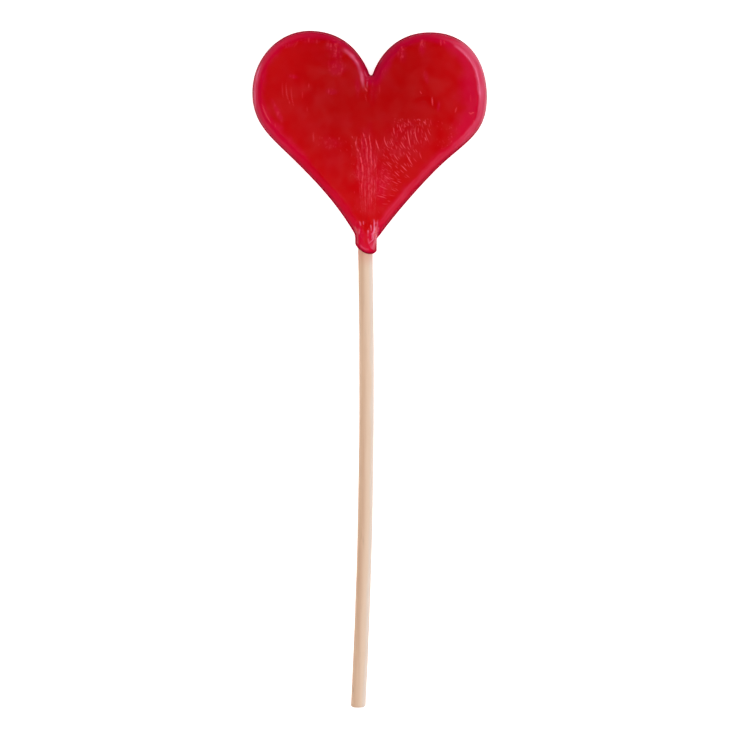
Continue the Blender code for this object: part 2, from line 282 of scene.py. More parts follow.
@dataclass(frozen=True)
class Ridge:
    """A raised line on the candy, as rows of x, y, height, half width (in metres) and paleness, a painted
    highlight on its crest (0 to 1).
    """

    rows: Points

    def at(self, points: Points) -> Points:
        """Measure the ridge, whose section is a rounded hump with a painted highlight on its crest.

        Args:
            points: Places in the plane.

        Returns:
            Two rows: its height and its painted crest highlight at each place, both 0 where it doesn't reach.
        """
        reach = self.rows[:, 3].max()
        low = self.rows[:, :2].min(axis=0) - reach
        high = self.rows[:, :2].max(axis=0) + reach
        near = np.flatnonzero(((points > low) & (points < high)).all(axis=1))
        levels = np.zeros((2, len(points)))
        best = np.zeros((2, len(near)))
        for start, end in zip(self.rows[:-1], self.rows[1:]):
            along = end[:2] - start[:2]
            share = np.clip(((points[near] - start[:2]) @ along) / (along @ along), 0.0, 1.0)[:, None]
            nearest = start + share * (end - start)
            gap = np.hypot(*(points[near] - nearest[:, :2]).T) / nearest[:, 3]
            hump = 0.5 + 0.5 * np.cos(math.pi * np.clip(gap, 0.0, 1.0))
            best = np.maximum(best, (nearest[:, 2] * hump, nearest[:, 4] * hump**PALE_POWER))
        levels[:, near] = best
        return levels


def tallest(ridges: list[Ridge], points: Points) -> Points:
    """Measure many ridges, the tallest and the palest one counting at each place.

    Args:
        ridges: The ridges.
        points: Places in the plane.

    Returns:
        Two rows: height and paleness.
    """
    levels = np.zeros((2, len(points)))
    for ridge in ridges:
        levels = np.maximum(levels, ridge.at(points))
    return levels


def swelling(path: Points, height: float, half_width: float, pale: float = 0.0) -> Ridge:
    """Make a ridge that swells from nothing at both ends.

    Args:
        path: Its crest, in the plane.
        height: Its height half way along.
        half_width: Its half width half way along.
        pale: Its paleness half way along.

    Returns:
        The ridge.
    """
    share = np.sin(np.linspace(0.0, math.pi, len(path)))
    width = half_width * (TIP_WIDTH + (1 - TIP_WIDTH) * share)
    paleness = pale * np.sqrt(np.clip(share, 0.0, 1.0))
    return Ridge(np.column_stack([path, height * share, width, paleness]))


def arc_path(
    start: tuple[float, float], heading: float, turn: float, length: float, steps: int = 4
) -> Points:
    """Walk a short curved line.

    Args:
        start: Where it begins, in metres.
        heading: Its first direction in degrees.
        turn: How far it turns on its way, in degrees.
        length: Its whole length.
        steps: How many straight steps it has.

    Returns:
        Its corners, one row each.
    """
    x, y = start
    path = [(x, y)]
    for step in range(steps):
        angle = math.radians(heading + turn * step / (steps - 1))
        x += math.cos(angle) * length / steps
        y += math.sin(angle) * length / steps
        path.append((x, y))
    return np.array(path)


def end_fade(part: float, fade_in: float, fade_out: float) -> float:
    """Fade a line at both its ends.

    Args:
        part: How far along it the place is, from 0 to 1.
        fade_in: How steeply it comes in at its start.
        fade_out: How steeply it goes out at its end.

    Returns:
        How much of it is left, from 0 to 1.
    """
    return min(1.0, part * fade_in) * min(1.0, (1 - part) * fade_out)


@dataclass(frozen=True)
class FoldLine:
    """One beaded raised line on the candy with a painted highlight along it: its corners from the top down,
    and its sizes, in millimetres.

    Where steady is 1, its beads are all equally high and pale, and where it is 0 they differ the most.
    """

    corners: tuple[tuple[float, float], ...]
    strength: float = 1.0
    height: float = 0.07
    half_width: float = 0.26
    pale: float = 0.85
    bead: float = 0.4
    steady: float = 0.0
    swell: float = 0.6
    wave: float = 0.3
    wave_step: float = 1.1
    chance: float = 0.25
    least: float = 0.1
    fade_in: float = 8.0
    fade_out: float = 4.0
    widths: tuple[float, float] = (0.8, 1.2)
    wander: float = 0.05

    def ridge(self, rng: random.Random) -> Ridge:
        """Bead the line along its length.

        Args:
            rng: The source of the beads' sizes.

        Returns:
            The line as a ridge that comes and goes.
        """
        corners = np.array(self.corners) * MM
        run = np.concatenate([[0.0], np.cumsum(np.hypot(*np.diff(corners, axis=0).T))])
        count = max(4, round(run[-1] / (self.bead * MM)))
        phase = rng.uniform(0, math.tau)
        rows = []
        for step in range(count + 1):
            part = step / count
            x, y = (np.interp(part * run[-1], run, corners[:, axis]) for axis in (0, 1))
            swell = self.swell + self.wave * math.sin(phase + self.wave_step * step)
            swell = max(self.least, swell + rng.uniform(-self.chance, self.chance))
            swell = self.steady + (1 - self.steady) * swell
            left = self.strength * end_fade(part, self.fade_in, self.fade_out) * swell
            width = self.half_width * rng.uniform(*self.widths)
            x += rng.uniform(-self.wander, self.wander) * MM
            rows.append((x, y, self.height * left * MM, width * MM, min(1.0, self.pale * left)))
        return Ridge(np.array(rows))


@dataclass
class StickFolds:
    """The upright folds in the candy over the hidden end of the stick, which close up towards the tip."""

    bright: tuple[FoldLine, ...] = (
        FoldLine(((-3.3, -5.0), (-3.7, -7.0), (-3.4, -8.4), (-2.9, -9.6)), 1.2),
        FoldLine(((-2.7, -9.2), (-2.4, -10.8), (-1.9, -13.1), (-1.7, -15.4)), 2.0, half_width=0.34),
        FoldLine(((-1.7, -14.8), (-2.0, -17.0), (-2.2, -18.8), (-2.0, -20.6)), 1.2),
        FoldLine(((-1.9, -3.9), (-1.1, -6.1), (-0.7, -8.2), (-0.75, -10.6), (-0.4, -13.0)), 1.7),
        FoldLine(((-0.4, -12.0), (-0.2, -15.2), (-0.2, -19.0), (-0.2, -23.4)), 1.2),
        FoldLine(((-0.2, -4.2), (0.0, -5.9), (0.3, -8.3), (0.35, -10.6), (0.6, -12.9), (0.5, -15.0)), 1.6),
        FoldLine(((0.45, -15.0), (0.6, -18.0), (0.4, -20.6), (0.5, -24.0)), 1.1),
        FoldLine(((1.5, -5.6), (1.9, -7.3), (2.6, -9.2)), 1.6),
        FoldLine(((1.2, -10.8), (1.4, -12.7), (1.2, -14.8)), 1.2),
        FoldLine(((-1.2, -15.0), (-1.25, -19.0), (-1.2, -22.5), (-1.1, -26.0)), 0.8),
        FoldLine(((1.2, -16.0), (1.3, -18.5), (1.1, -21.5)), 0.8),
        FoldLine(((-2.4, -5.6), (-2.0, -7.4), (-2.1, -9.2)), 0.7),
        FoldLine(((-3.4, -12.0), (-3.0, -14.5), (-2.9, -16.6)), 0.7),
    )
    threads: int = 13
    pitch: float = 0.52 * MM
    closing: float = 0.5
    top: float = -3.4 * MM
    foot: float = -26.5 * MM
    axis: tuple[float, float] = (-0.9 * MM, -0.3 * MM)
    height: float = 0.05 * MM
    half_width: float = 0.18 * MM
    # How strong the painted highlight along each fine thread's crest is
    pale: float = 0.42
    seed: int = 11
    beads: int = 64
    late: float = 0.25
    strengths: tuple[float, float] = (0.4, 1.0)
    wave: float = 0.12 * MM
    wave_turn: float = 9.0
    wander: float = 0.08 * MM
    fade_in: float = 12.0
    fade_out: float = 5.0
    swells: tuple[float, float] = (0.1, 1.1)

    def ridges(self) -> list[Ridge]:
        """Lay out the folds.

        Returns:
            One ridge for each bright fold, then one for each fine thread, from left to right.
        """
        rng = random.Random(self.seed)
        folds = [line.ridge(rng) for line in self.bright]
        for index in range(self.threads):
            across = (index - (self.threads - 1) / 2) * self.pitch
            phase = rng.uniform(0, math.tau)
            starts_late = rng.uniform(0, self.late)
            strength = rng.uniform(*self.strengths)
            rows = []
            for step in range(self.beads + 1):
                part = step / self.beads
                t = starts_late + (1 - starts_late) * part
                spread = 1 - self.closing * t
                axis = self.axis[0] + (self.axis[1] - self.axis[0]) * t
                wave = self.wave * math.sin(phase + self.wave_turn * t)
                wave += rng.uniform(-self.wander, self.wander)
                left = strength * end_fade(part, self.fade_in, self.fade_out) * rng.uniform(*self.swells)
                rows.append((
                    axis + across * spread + wave,
                    self.top + (self.foot - self.top) * t,
                    self.height * left,
                    self.half_width,
                    self.pale * left,
                ))
            folds.append(Ridge(np.array(rows)))
        return folds


@dataclass(frozen=True)
class Stroke:
    """One mark that shows by itself: its start and sizes in millimetres, its heading and turn in degrees.

    Its paleness is partly a painted glint and partly a pale streak in the sugar.
    """

    x: float
    y: float
    heading: float
    turn: float
    length: float
    height: float = 0.05
    half_width: float = 0.3
    pale: float = 0.45
    steps: int = 8
    wobble: float = 0.05
    wobbles: tuple[SmoothNoise, SmoothNoise] = (SmoothNoise(61, 0.6 * MM), SmoothNoise(62, 0.6 * MM))

    def ridge(self) -> Ridge:
        """The stroke as a ridge."""
        start = (self.x * MM, self.y * MM)
        path = arc_path(start, self.heading, self.turn, self.length * MM, self.steps)
        path = path + self.wobble * MM * np.stack([noise.at(path) for noise in self.wobbles], axis=1)
        return swelling(path, self.height * MM, self.half_width * MM, self.pale)


@dataclass
class FanWrinkles:
    """Fine curved wrinkles in rows, which fan out to the right of the folds between the larger ones."""

    rows: int = 26
    top: float = -1.0 * MM
    foot: float = -22.5 * MM
    left: float = 2.6 * MM
    slant: float = 5.0 * MM
    right_top: float = 16.4 * MM
    right_foot: float = 6.0 * MM
    pitch: float = 0.70 * MM
    heading_top: float = -100
    heading_foot: float = -16
    turn: tuple[float, float] = (5.0, 40.0)
    length: float = 1.7 * MM
    height: float = 0.04 * MM
    half_width: float = 0.19 * MM
    # How strong the painted highlight along each wrinkle's crest is
    pale: float = 0.75
    clear: float = 0.32 * MM
    rim_gap: float = 2.8 * MM
    slant_power: int = 4
    stagger: tuple[float, float] = (0.2, 0.8)
    lift: float = 0.7 * MM
    sway: float = 10.0
    lengths: tuple[float, float] = (0.5, 1.2)
    strengths: tuple[float, float] = (0.35, 1.0)
    seed: int = 23

    def ridges(self, rim: Points, taken: list[Points]) -> list[Ridge]:
        """Lay out the wrinkles, each clear of the rim and of those before it.

        Args:
            rim: The candy's closed outline.
            taken: The paths that are already laid out.

        Returns:
            One ridge for each wrinkle.
        """
        rng = random.Random(self.seed)
        paths = list(taken)
        wrinkles = []
        for row in range(self.rows):
            t = row / (self.rows - 1)
            left = self.left + self.slant * (1 - t) ** self.slant_power
            right = self.right_top + (self.right_foot - self.right_top) * t
            columns = max(1, round((right - left) / self.pitch))
            for column in range(columns):
                x = left + (right - left) * (column + rng.uniform(*self.stagger)) / columns
                y = self.top + (self.foot - self.top) * t + rng.uniform(-self.lift, self.lift)
                heading = self.heading_top + (self.heading_foot - self.heading_top) * t
                heading += rng.uniform(-self.sway, self.sway)
                length = self.length * rng.uniform(*self.lengths)
                path = arc_path((x, y), heading, rng.uniform(*self.turn), length)
                strength = rng.uniform(*self.strengths)
                apart = min([distance_to_path(path, other).min() for other in paths], default=math.inf)
                if apart > self.clear and distance_to_path(path, rim).min() > self.rim_gap:
                    paths.append(path)
                    height, pale = self.height * strength, self.pale * strength
                    wrinkles.append(swelling(path, height, self.half_width, pale))
        return wrinkles


@dataclass(frozen=True)
class SpeckPatch:
    """A patch of tiny raised specks: its corners in millimetres, how many, and what they are like."""

    low: tuple[float, float]
    high: tuple[float, float]
    count: int
    height: float = 0.05 * MM
    half_width: float = 0.2 * MM
    heading: float = -80.0
    # How strong the painted highlight on each speck's crest is
    pale: float = 0.45
    sway: float = 35.0
    turn: float = 30.0
    sizes: tuple[float, float] = (0.5, 1.0)
    lengths: tuple[float, float] = (1.2, 4.5)
    pales: tuple[float, float] = (0.3, 1.0)
    steps: int = 3

    def ridges(self, rng: random.Random) -> list[Ridge]:
        """Scatter the specks.

        Args:
            rng: The source of their places.

        Returns:
            One short ridge for each speck.
        """
        specks = []
        for _ in range(self.count):
            start = tuple(rng.uniform(low, high) * MM for low, high in zip(self.low, self.high))
            size = rng.uniform(*self.sizes)
            length = self.half_width * rng.uniform(*self.lengths)
            heading = self.heading + rng.uniform(-self.sway, self.sway)
            path = arc_path(start, heading, rng.uniform(-self.turn, self.turn), length, self.steps)
            pale = self.pale * rng.uniform(*self.pales)
            specks.append(swelling(path, self.height * size, self.half_width * size, pale))
        return specks


@dataclass(frozen=True)
class Smudge:
    """A dull crimson patch on the face, finely streaked: middle, width, height and lean in millimetres."""

    x: float
    y: float
    width: float
    height: float
    lean: float = 0.0
    crimson: float = 0.6
    bloom_and_highlight: float = 0.12
    fade: tuple[float, float] = (0.25, 1.3)
    ragged: float = 0.25
    border: SmoothNoise = SmoothNoise(43, 1.6 * MM)
    cloudy: float = 0.3
    cloud: SmoothNoise = SmoothNoise(42, 0.9 * MM)
    streaks: SmoothNoise = SmoothNoise(41, 0.34 * MM)
    streak_stretch: tuple[float, float] = (1.0, 0.3)
    grains: SmoothNoise = SmoothNoise(44, 0.3 * MM)
    grain_share: float = 0.5
    shown: tuple[float, float] = (0.1, 1.0)

    def at(self, points: Points) -> Points:
        """Paint the smudge.

        Args:
            points: Places in the plane.

        Returns:
            Two rows: how crimson and how pale it makes each place.
        """
        up = (points[:, 1] / MM - self.y) / (self.height / 2)
        across = (points[:, 0] / MM - self.x - self.lean * up / 2) / (self.width / 2)
        away = np.hypot(across, up) + self.ragged * self.border.at(points)
        fade = 1 - smoothstep(*self.fade, away)
        cloud = 1 - self.cloudy + self.cloudy * self.cloud.at(points)
        fine = self.streaks.at(points * self.streak_stretch) + self.grain_share * self.grains.at(points)
        return np.array([self.crimson * fade * cloud, self.bloom_and_highlight * fade * smoothstep(*self.shown, fine)])


@dataclass(frozen=True)
class RimGlow:
    """How the rim is painted: crimson, and a painted pink highlight band for the light that passes through
    the thin sugar and for the white table's reflection, strongest on the right, where the key light stands.

    Each stop is a direction in degrees, how strong the painted pink highlight band is, where it begins and
    ends and how far the crimson behind it reaches, all three in millimetres from the rim. The crimson is
    redder low on the heart, and the collar has no painted pink band.
    """

    stops: tuple[tuple[float, float, float, float, float], ...] = (
        (0, 0.41, 0.2, 2.2, 6.6),
        (14, 0.47, 0.2, 2.4, 7.5),
        (26, 0.52, 0.2, 2.6, 6.5),
        (36, 0.42, 0.3, 2.5, 5.0),
        (44, 0.14, 0.5, 2.0, 3.8),
        (54, 0.04, 0.6, 1.6, 3.0),
        (75, 0.03, 0.6, 1.6, 3.6),
        (100, 0.02, 0.6, 1.6, 2.8),
        (118, 0.02, 0.6, 1.6, 2.2),
        (135, 0.05, 0.6, 1.8, 2.6),
        (146, 0.10, 0.3, 1.8, 3.0),
        (157, 0.18, 0.2, 1.7, 3.4),
        (172, 0.18, 0.2, 1.7, 3.6),
        (186, 0.14, 0.2, 1.6, 3.8),
        (205, 0.04, 0.5, 1.6, 3.2),
        (235, 0.02, 0.6, 2.2, 2.6),
        (268, 0.04, 0.8, 2.2, 2.8),
        (280, 0.12, 1.2, 2.6, 3.0),
        (305, 0.12, 1.3, 2.6, 3.0),
        (328, 0.12, 1.2, 2.5, 3.2),
        (340, 0.14, 1.0, 2.1, 2.8),
        (350, 0.30, 0.4, 2.3, 4.4),
        (360, 0.41, 0.2, 2.2, 6.6),
    )
    collar_low: float = -30.0 * MM
    collar_high: float = -26.0 * MM
    redder: tuple[float, float] = (-14.0 * MM, -6.0 * MM)
    redder_share: float = 0.35
    mottle: TwoScaleNoise = TwoScaleNoise(SmoothNoise(51, 2.6 * MM), SmoothNoise(52, 0.9 * MM), 0.4)
    band_wander: float = 0.10
    band_in: tuple[float, float] = (0.4, 1.0)
    band_out: tuple[float, float] = (0.75, 1.05)
    crimson_wander: float = 0.16
    crimson_out: tuple[float, float] = (0.55, 1.15)
    streaks: SmoothNoise = SmoothNoise(54, 1.0)
    streaks_round: float = 9.0
    streak_depth: float = 0.4 * MM
    streak_mean: float = 0.8
    streak_share: float = 0.35

    def paint(self, points: Points, inset: Points) -> Points:
        """Paint the rim.

        Args:
            points: Places in the plane.
            inset: How far each one is from the rim.

        Returns:
            Two rows: how crimson each place is and how strong its painted pink highlight is, from 0 to 1.
        """
        turn = np.degrees(np.arctan2(points[:, 1], points[:, 0])) % 360
        angles, pinkness, *limits = np.array(self.stops).T
        pink = np.interp(turn, angles, pinkness)
        near, far, reach = (np.interp(turn, angles, limit) * MM for limit in limits)
        wander = self.mottle.at(points)
        edge = inset * (1 + self.band_wander * wander)
        band = smoothstep(*self.band_in, edge / near) * (1 - smoothstep(*self.band_out, edge / far))
        places = np.column_stack([np.radians(turn) * self.streaks_round, inset / self.streak_depth])
        streaks = self.streak_mean + self.streak_share * self.streaks.at(places)
        crimson = 1 - smoothstep(*self.crimson_out, inset * (1 + self.crimson_wander * wander) / reach)
        on_heart = smoothstep(self.collar_low, self.collar_high, points[:, 1])
        crimson *= 1 - self.redder_share * on_heart * (1 - smoothstep(*self.redder, points[:, 1]))
        return np.array([crimson, pink * band * streaks * on_heart])


@dataclass
class CandySurface:
    """The height of both faces of the candy, from its section across the rim and its relief."""

    outline: HeartOutline = field(default_factory=HeartOutline)
    middle: float = 4.0 * MM
    highest: float = 4.27 * MM
    front_profile: tuple[tuple[float, float], ...] = (
        (0.0, 0.0),
        (0.04, 0.42),
        (0.12, 0.74),
        (0.26, 1.08),
        (0.45, 1.36),
        (0.7, 1.62),
        (1.0, 1.86),
        (1.6, 2.34),
        (1.9, 2.58),
        (2.1, 2.70),
        (2.4, 2.80),
        (3.0, 2.92),
        (5.0, 3.28),
        (7.0, 3.60),
        (9.0, 3.83),
        (12.0, 4.0),
    )
    back_profile: tuple[tuple[float, float], ...] = (
        (0.0, 0.0),
        (0.04, 0.42),
        (0.12, 0.74),
        (0.45, 1.36),
        (1.0, 1.95),
        (2.6, 3.30),
        (3.6, 3.85),
        (4.6, 4.0),
    )
    collar_blend: tuple[float, float] = (-32.4 * MM, -28.0 * MM)
    crease_top: tuple[float, float] = (0.4 * MM, 11.0 * MM)
    crease_foot: tuple[float, float] = (0.9 * MM, 0.5 * MM)
    crease_depth: float = 0.24 * MM
    crease_half_width: float = 1.9 * MM
    crease_foot_share: float = 0.5
    crease_stations: int = 8
    folds: StickFolds = field(default_factory=StickFolds)
    fan: tuple[Stroke, ...] = (
        Stroke(10.0, -3.2, -86, 12, 5.3, 0.045, 0.24, 1.00),
        Stroke(12.2, -2.3, -104, 50, 5.2, 0.045, 0.24, 0.76),
        Stroke(14.5, -3.7, -75, 12, 3.3, 0.045, 0.24, 0.60),
        Stroke(14.5, -5.2, -68, 0, 1.3, 0.045, 0.30, 0.80),
        Stroke(15.3, -2.8, -80, 30, 2.4, 0.045, 0.22, 0.60),
        Stroke(6.2, -2.6, -84, 10, 2.2, 0.045, 0.24, 0.76),
        Stroke(7.8, -2.0, -76, 8, 2.4, 0.045, 0.24, 0.85),
        Stroke(3.9, -4.9, -96, 56, 3.8, 0.045, 0.24, 0.85),
        Stroke(5.4, -5.6, -74, 16, 2.4, 0.045, 0.24, 0.68),
        Stroke(8.1, -6.3, -62, 12, 2.6, 0.045, 0.24, 0.85),
        Stroke(9.5, -9.4, -64, 6, 4.0, 0.045, 0.24, 1.00),
        Stroke(13.1, -9.2, -76, 12, 2.0, 0.045, 0.24, 0.59),
        Stroke(6.2, -9.6, -58, 10, 2.6, 0.045, 0.24, 0.68),
        Stroke(8.1, -12.5, -48, 8, 2.6, 0.045, 0.24, 1.00),
        Stroke(4.2, -11.6, -52, 10, 2.6, 0.045, 0.24, 0.68),
        Stroke(6.4, -14.2, -48, 8, 2.2, 0.045, 0.24, 0.85),
        Stroke(3.6, -15.2, -42, 12, 2.4, 0.045, 0.24, 0.76),
        Stroke(5.7, -16.7, -36, 20, 2.3, 0.045, 0.24, 0.68),
        Stroke(2.2, -17.9, -30, 10, 3.0, 0.045, 0.24, 0.68),
        Stroke(1.6, -20.7, -8, -16, 3.1, 0.045, 0.24, 0.93),
    )
    fine_fan: FanWrinkles = field(default_factory=FanWrinkles)
    specks: tuple[SpeckPatch, ...] = (
        SpeckPatch((-5.0, -16.5), (-2.6, -5.0), 50),
        SpeckPatch((-4.4, -25.0), (2.4, -13.0), 70),
        SpeckPatch((2.0, -20.0), (7.0, -6.0), 70, heading=-60.0),
        SpeckPatch((6.0, -4.0), (16.0, -0.2), 40, pale=0.70),
        SpeckPatch((-13.5, -9.0), (-6.0, -4.5), 26, height=0.02 * MM, pale=0.40),
        SpeckPatch((17.5, -8.5), (24.5, -1.0), 36, height=0.02 * MM, pale=0.50),
        SpeckPatch((-4.0, -35.0), (1.8, -27.0), 40, height=0.05 * MM, half_width=0.22 * MM, pale=0.3),
    )
    speck_seed: int = 31
    strokes: tuple[Stroke, ...] = (
        Stroke(-23.1, 9.4, -92, 12, 4.6, 0.01, 0.24, 0.30),
        Stroke(-22.1, 9.5, -92, 20, 5.8, 0.02, 0.26, 0.36),
        Stroke(-20.7, 8.2, -92, 20, 5.8, 0.02, 0.24, 0.34),
        Stroke(-21.3, 4.3, -80, 0, 0.8, 0.03, 0.26, 0.40),
        Stroke(-17.8, 7.0, -90, 0, 2.2, 0.01, 0.24, 0.26),
        Stroke(-16.1, 9.0, -90, 0, 1.2, 0.02, 0.26, 0.40),
        Stroke(-16.6, 2.8, -85, 0, 1.4, 0.01, 0.24, 0.24),
        Stroke(-28.6, 4.0, -76, 22, 6.6, 0.03, 0.32, 0.66),
        Stroke(-25.1, -1.5, -80, 0, 1.4, 0.02, 0.25, 0.36),
        Stroke(-14.9, -3.9, -88, 0, 2.8, 0.03, 0.34, 0.34),
        Stroke(-16.2, 21.4, -90, 0, 1.8, 0.03, 0.26, 0.42),
        Stroke(-14.0, 20.8, -88, 0, 1.5, 0.03, 0.24, 0.32),
        Stroke(-18.8, 20.5, -120, 0, 2.4, 0.03, 0.25, 0.26),
        Stroke(14.0, 20.9, -107, 0, 2.4, 0.03, 0.38, 0.42),
        Stroke(18.8, 20.7, -90, 0, 1.9, 0.03, 0.26, 0.54),
        Stroke(19.4, 20.7, -70, 0, 1.6, 0.03, 0.26, 0.54),
        Stroke(13.2, 6.9, -57, 0, 1.0, 0.03, 0.26, 0.55),
        Stroke(16.4, 5.4, -85, 0, 2.5, 0.03, 0.30, 0.80),
        Stroke(23.0, 2.7, -106, 0, 1.7, 0.03, 0.28, 0.58),
        Stroke(26.2, 1.4, -51, 0, 0.9, 0.03, 0.26, 0.85),
        Stroke(26.7, 0.9, 28, 0, 1.1, 0.03, 0.26, 0.85),
        Stroke(27.5, -0.7, -70, 0, 0.8, 0.03, 0.27, 0.70),
        Stroke(26.6, 6.4, -88, 0, 2.6, 0.02, 0.30, 0.22),
        Stroke(2.6, 8.9, -90, 0, 2.8, 0.02, 0.25, 0.24),
        Stroke(0.8, 10.2, -92, 0, 2.2, 0.02, 0.25, 0.20),
        Stroke(-1.3, 7.9, -62, 0, 1.4, 0.03, 0.40, 0.60),
        Stroke(-1.3, 6.2, -78, 0, 2.4, 0.02, 0.25, 0.26),
        Stroke(10.1, -0.8, -65, 0, 0.9, 0.03, 0.27, 0.75),
        Stroke(12.8, -0.5, -40, 0, 0.8, 0.03, 0.27, 0.70),
        Stroke(14.1, -1.1, -50, 0, 0.9, 0.03, 0.27, 0.80),
        Stroke(7.2, -1.8, -70, 0, 0.9, 0.03, 0.26, 0.60),
        Stroke(6.3, -2.8, -85, 0, 0.9, 0.03, 0.26, 0.60),
        Stroke(8.9, -2.7, 20, 0, 0.8, 0.03, 0.24, 0.55),
        Stroke(-3.4, -8.2, -60, 0, 1.2, 0.03, 0.36, 0.75),
        Stroke(-4.7, -4.9, -80, 0, 0.8, 0.03, 0.30, 0.45),
        Stroke(-8.1, -5.3, -85, 0, 0.7, 0.03, 0.28, 0.50),
    )
    smudges: tuple[Smudge, ...] = (
        Smudge(-10.2, 19.4, 3.6, 4.0, 0.6, 0.85, 0.40),
        Smudge(-8.6, 17.0, 4.0, 4.2, 0.8, 0.80, 0.30),
        Smudge(-8.8, 13.2, 6.0, 5.0, 0.0, 0.70, 0.22),
        Smudge(-10.0, 6.7, 3.0, 1.6, -0.6, 0.70, 0.30),
        Smudge(-20.0, 10.7, 2.8, 1.2, -0.8, 0.80, 0.20),
        Smudge(-24.4, 1.4, 1.8, 6.6, -3.2, 1.00, 0.20),
        Smudge(-21.5, 19.3, 5.0, 2.2, 2.0, 0.75, 0.20),
        Smudge(-16.0, 20.4, 7.0, 1.8, 0.0, 0.55, 0.14),
        Smudge(-3.2, 8.5, 1.8, 6.5, 0.0, 0.75, 0.14),
        Smudge(8.4, 17.4, 2.8, 5.4, -0.4, 0.85, 0.42),
        Smudge(5.0, 18.4, 2.6, 2.6, 0.0, 0.70, 0.20),
        Smudge(14.0, 18.4, 1.8, 5.0, 0.4, 0.85, 0.34),
        Smudge(4.0, 13.0, 3.4, 3.0, 0.0, 0.80, 0.20),
        Smudge(15.0, 10.4, 1.4, 3.4, -0.6, 0.75, 0.26),
        Smudge(18.2, 2.9, 0.9, 2.8, 0.3, 0.90, 0.10),
        Smudge(-0.6, -14.0, 6.4, 21.0, 0.0, 0.55, 0.20),
        Smudge(9.5, -6.0, 13.0, 11.0, 4.0, 0.25, 0.12),
        Smudge(2.6, -18.0, 6.0, 10.0, 0.0, 0.65, 0.20),
        Smudge(-10.0, -6.8, 7.0, 3.5, 0.0, 0.30, 0.12),
        Smudge(3.4, 12.0, 1.2, 3.0, 0.0, 0.60, 0.15),
        Smudge(1.0, 6.5, 3.0, 6.0, 0.0, 0.35, 0.08),
    )
    lumps: tuple[Stroke, ...] = (
        Stroke(-2.5, -28.0, -84, 0, 4.7, 0.22, 1.0, 0.0),
        Stroke(1.1, -27.2, -99, 0, 5.9, 0.26, 1.0, 0.0),
    )
    # Painted pink glint lines, each raised a little: down the cleft's left flank, along the right and left
    # rims and on the collar
    shine: tuple[FoldLine, ...] = (
        FoldLine(
            ((-8.2, 18.9), (-6.9, 18.1), (-4.8, 16.5), (-3.1, 14.1), (-2.2, 11.6), (-1.8, 9.0), (-1.4, 6.6)),
            1.2, 0.02, 0.85, 0.44, 1.1,
        ),
        FoldLine(
            ((-6.2, 17.8), (-4.4, 16.0), (-2.9, 13.8), (-2.0, 11.4), (-1.7, 9.0)),
            1.2, 0.03, 0.30, 0.66, 0.8,
        ),
        FoldLine(((-1.5, 12.6), (-0.6, 10.1), (-0.7, 7.6)), 1.1, 0.03, 0.28, 0.42, 0.7),
        FoldLine(((22.0, 19.2), (23.9, 18.0), (25.4, 16.6), (26.7, 14.6)), 1.2, 0.02, 0.55, 0.50, 1.0, 0.5),
        FoldLine(
            ((24.0, 17.9), (26.4, 15.4), (27.9, 12.8), (28.8, 10.0), (29.15, 7.0), (29.0, 2.0)),
            1.1, 0.02, 0.34, 0.90, 0.9, 0.6,
        ),
        FoldLine(
            ((-28.2, 14.9), (-29.7, 11.8), (-30.3, 8.0), (-30.4, 4.0), (-29.9, 0.6)),
            1.1, 0.0, 0.46, 0.72, 1.0, 0.5,
        ),
        FoldLine(
            (
                (1.05, -26.8), (1.3, -28.0), (1.15, -28.6), (1.3, -29.4), (1.0, -30.5),
                (0.75, -31.2), (0.9, -32.0), (0.65, -33.1), (0.6, -34.3),
            ),
            1.35, 0.05, 0.36, 0.95, steady=0.6,
        ),
        FoldLine(((0.2, -28.3), (0.35, -29.0), (0.45, -30.2)), 1.5, 0.05, 0.26, 0.7, steady=0.3),
        FoldLine(((-0.4, -29.7), (-0.45, -30.6), (-0.5, -31.6)), 1.5, 0.05, 0.28, 0.7),
        FoldLine(((-0.4, -31.9), (-0.35, -32.9), (0.1, -33.8)), 1.5, 0.05, 0.26, 0.6),
        FoldLine(((0.2, -34.3), (0.8, -34.6), (1.5, -34.7)), 1.6, 0.05, 0.40, 0.8, steady=0.8),
        FoldLine(((-2.8, -27.4), (-2.5, -28.1), (-2.3, -28.8)), 1.2, 0.06, 0.28, 0.55, steady=0.8),
        FoldLine(((-1.65, -27.4), (-1.65, -28.5)), 1.2, 0.06, 0.22, 0.6, steady=0.8),
        FoldLine(((-2.8, -29.2), (-2.8, -30.9)), 1.0, 0.04, 0.30, 0.45, steady=0.6),
        FoldLine(((2.4, -29.0), (2.2, -29.9), (2.0, -30.8)), 1.2, 0.04, 0.34, 0.45, steady=0.6),
        FoldLine(((2.1, -26.8), (2.0, -28.0), (1.9, -29.4), (1.8, -30.6)), 1.2, 0.02, 0.36, 0.42),
        FoldLine(
            ((-2.8, -33.6), (-2.0, -34.4), (-1.0, -34.9), (0.0, -35.0)),
            1.0, 0.03, 0.40, 0.38, steady=0.6,
        ),
        FoldLine(((2.0, -30.4), (1.6, -32.0), (1.5, -33.4), (1.45, -34.8)), 1.0, 0.0, 0.50, 0.50, steady=0.6),
    )
    undulation: float = 0.05 * MM
    swell: TwoScaleNoise = TwoScaleNoise(SmoothNoise(7, 6.0 * MM), SmoothNoise(8, 2.4 * MM), 0.6)
    shoulder_wander: float = 0.22 * MM
    shoulder_noise: TwoScaleNoise = TwoScaleNoise(SmoothNoise(3, 7.0 * MM), SmoothNoise(4, 2.6 * MM), 0.5)
    shoulder_from: tuple[float, float] = (0.5 * MM, 2.2 * MM)
    relief_from: tuple[float, float] = (0.3 * MM, 2.0 * MM)

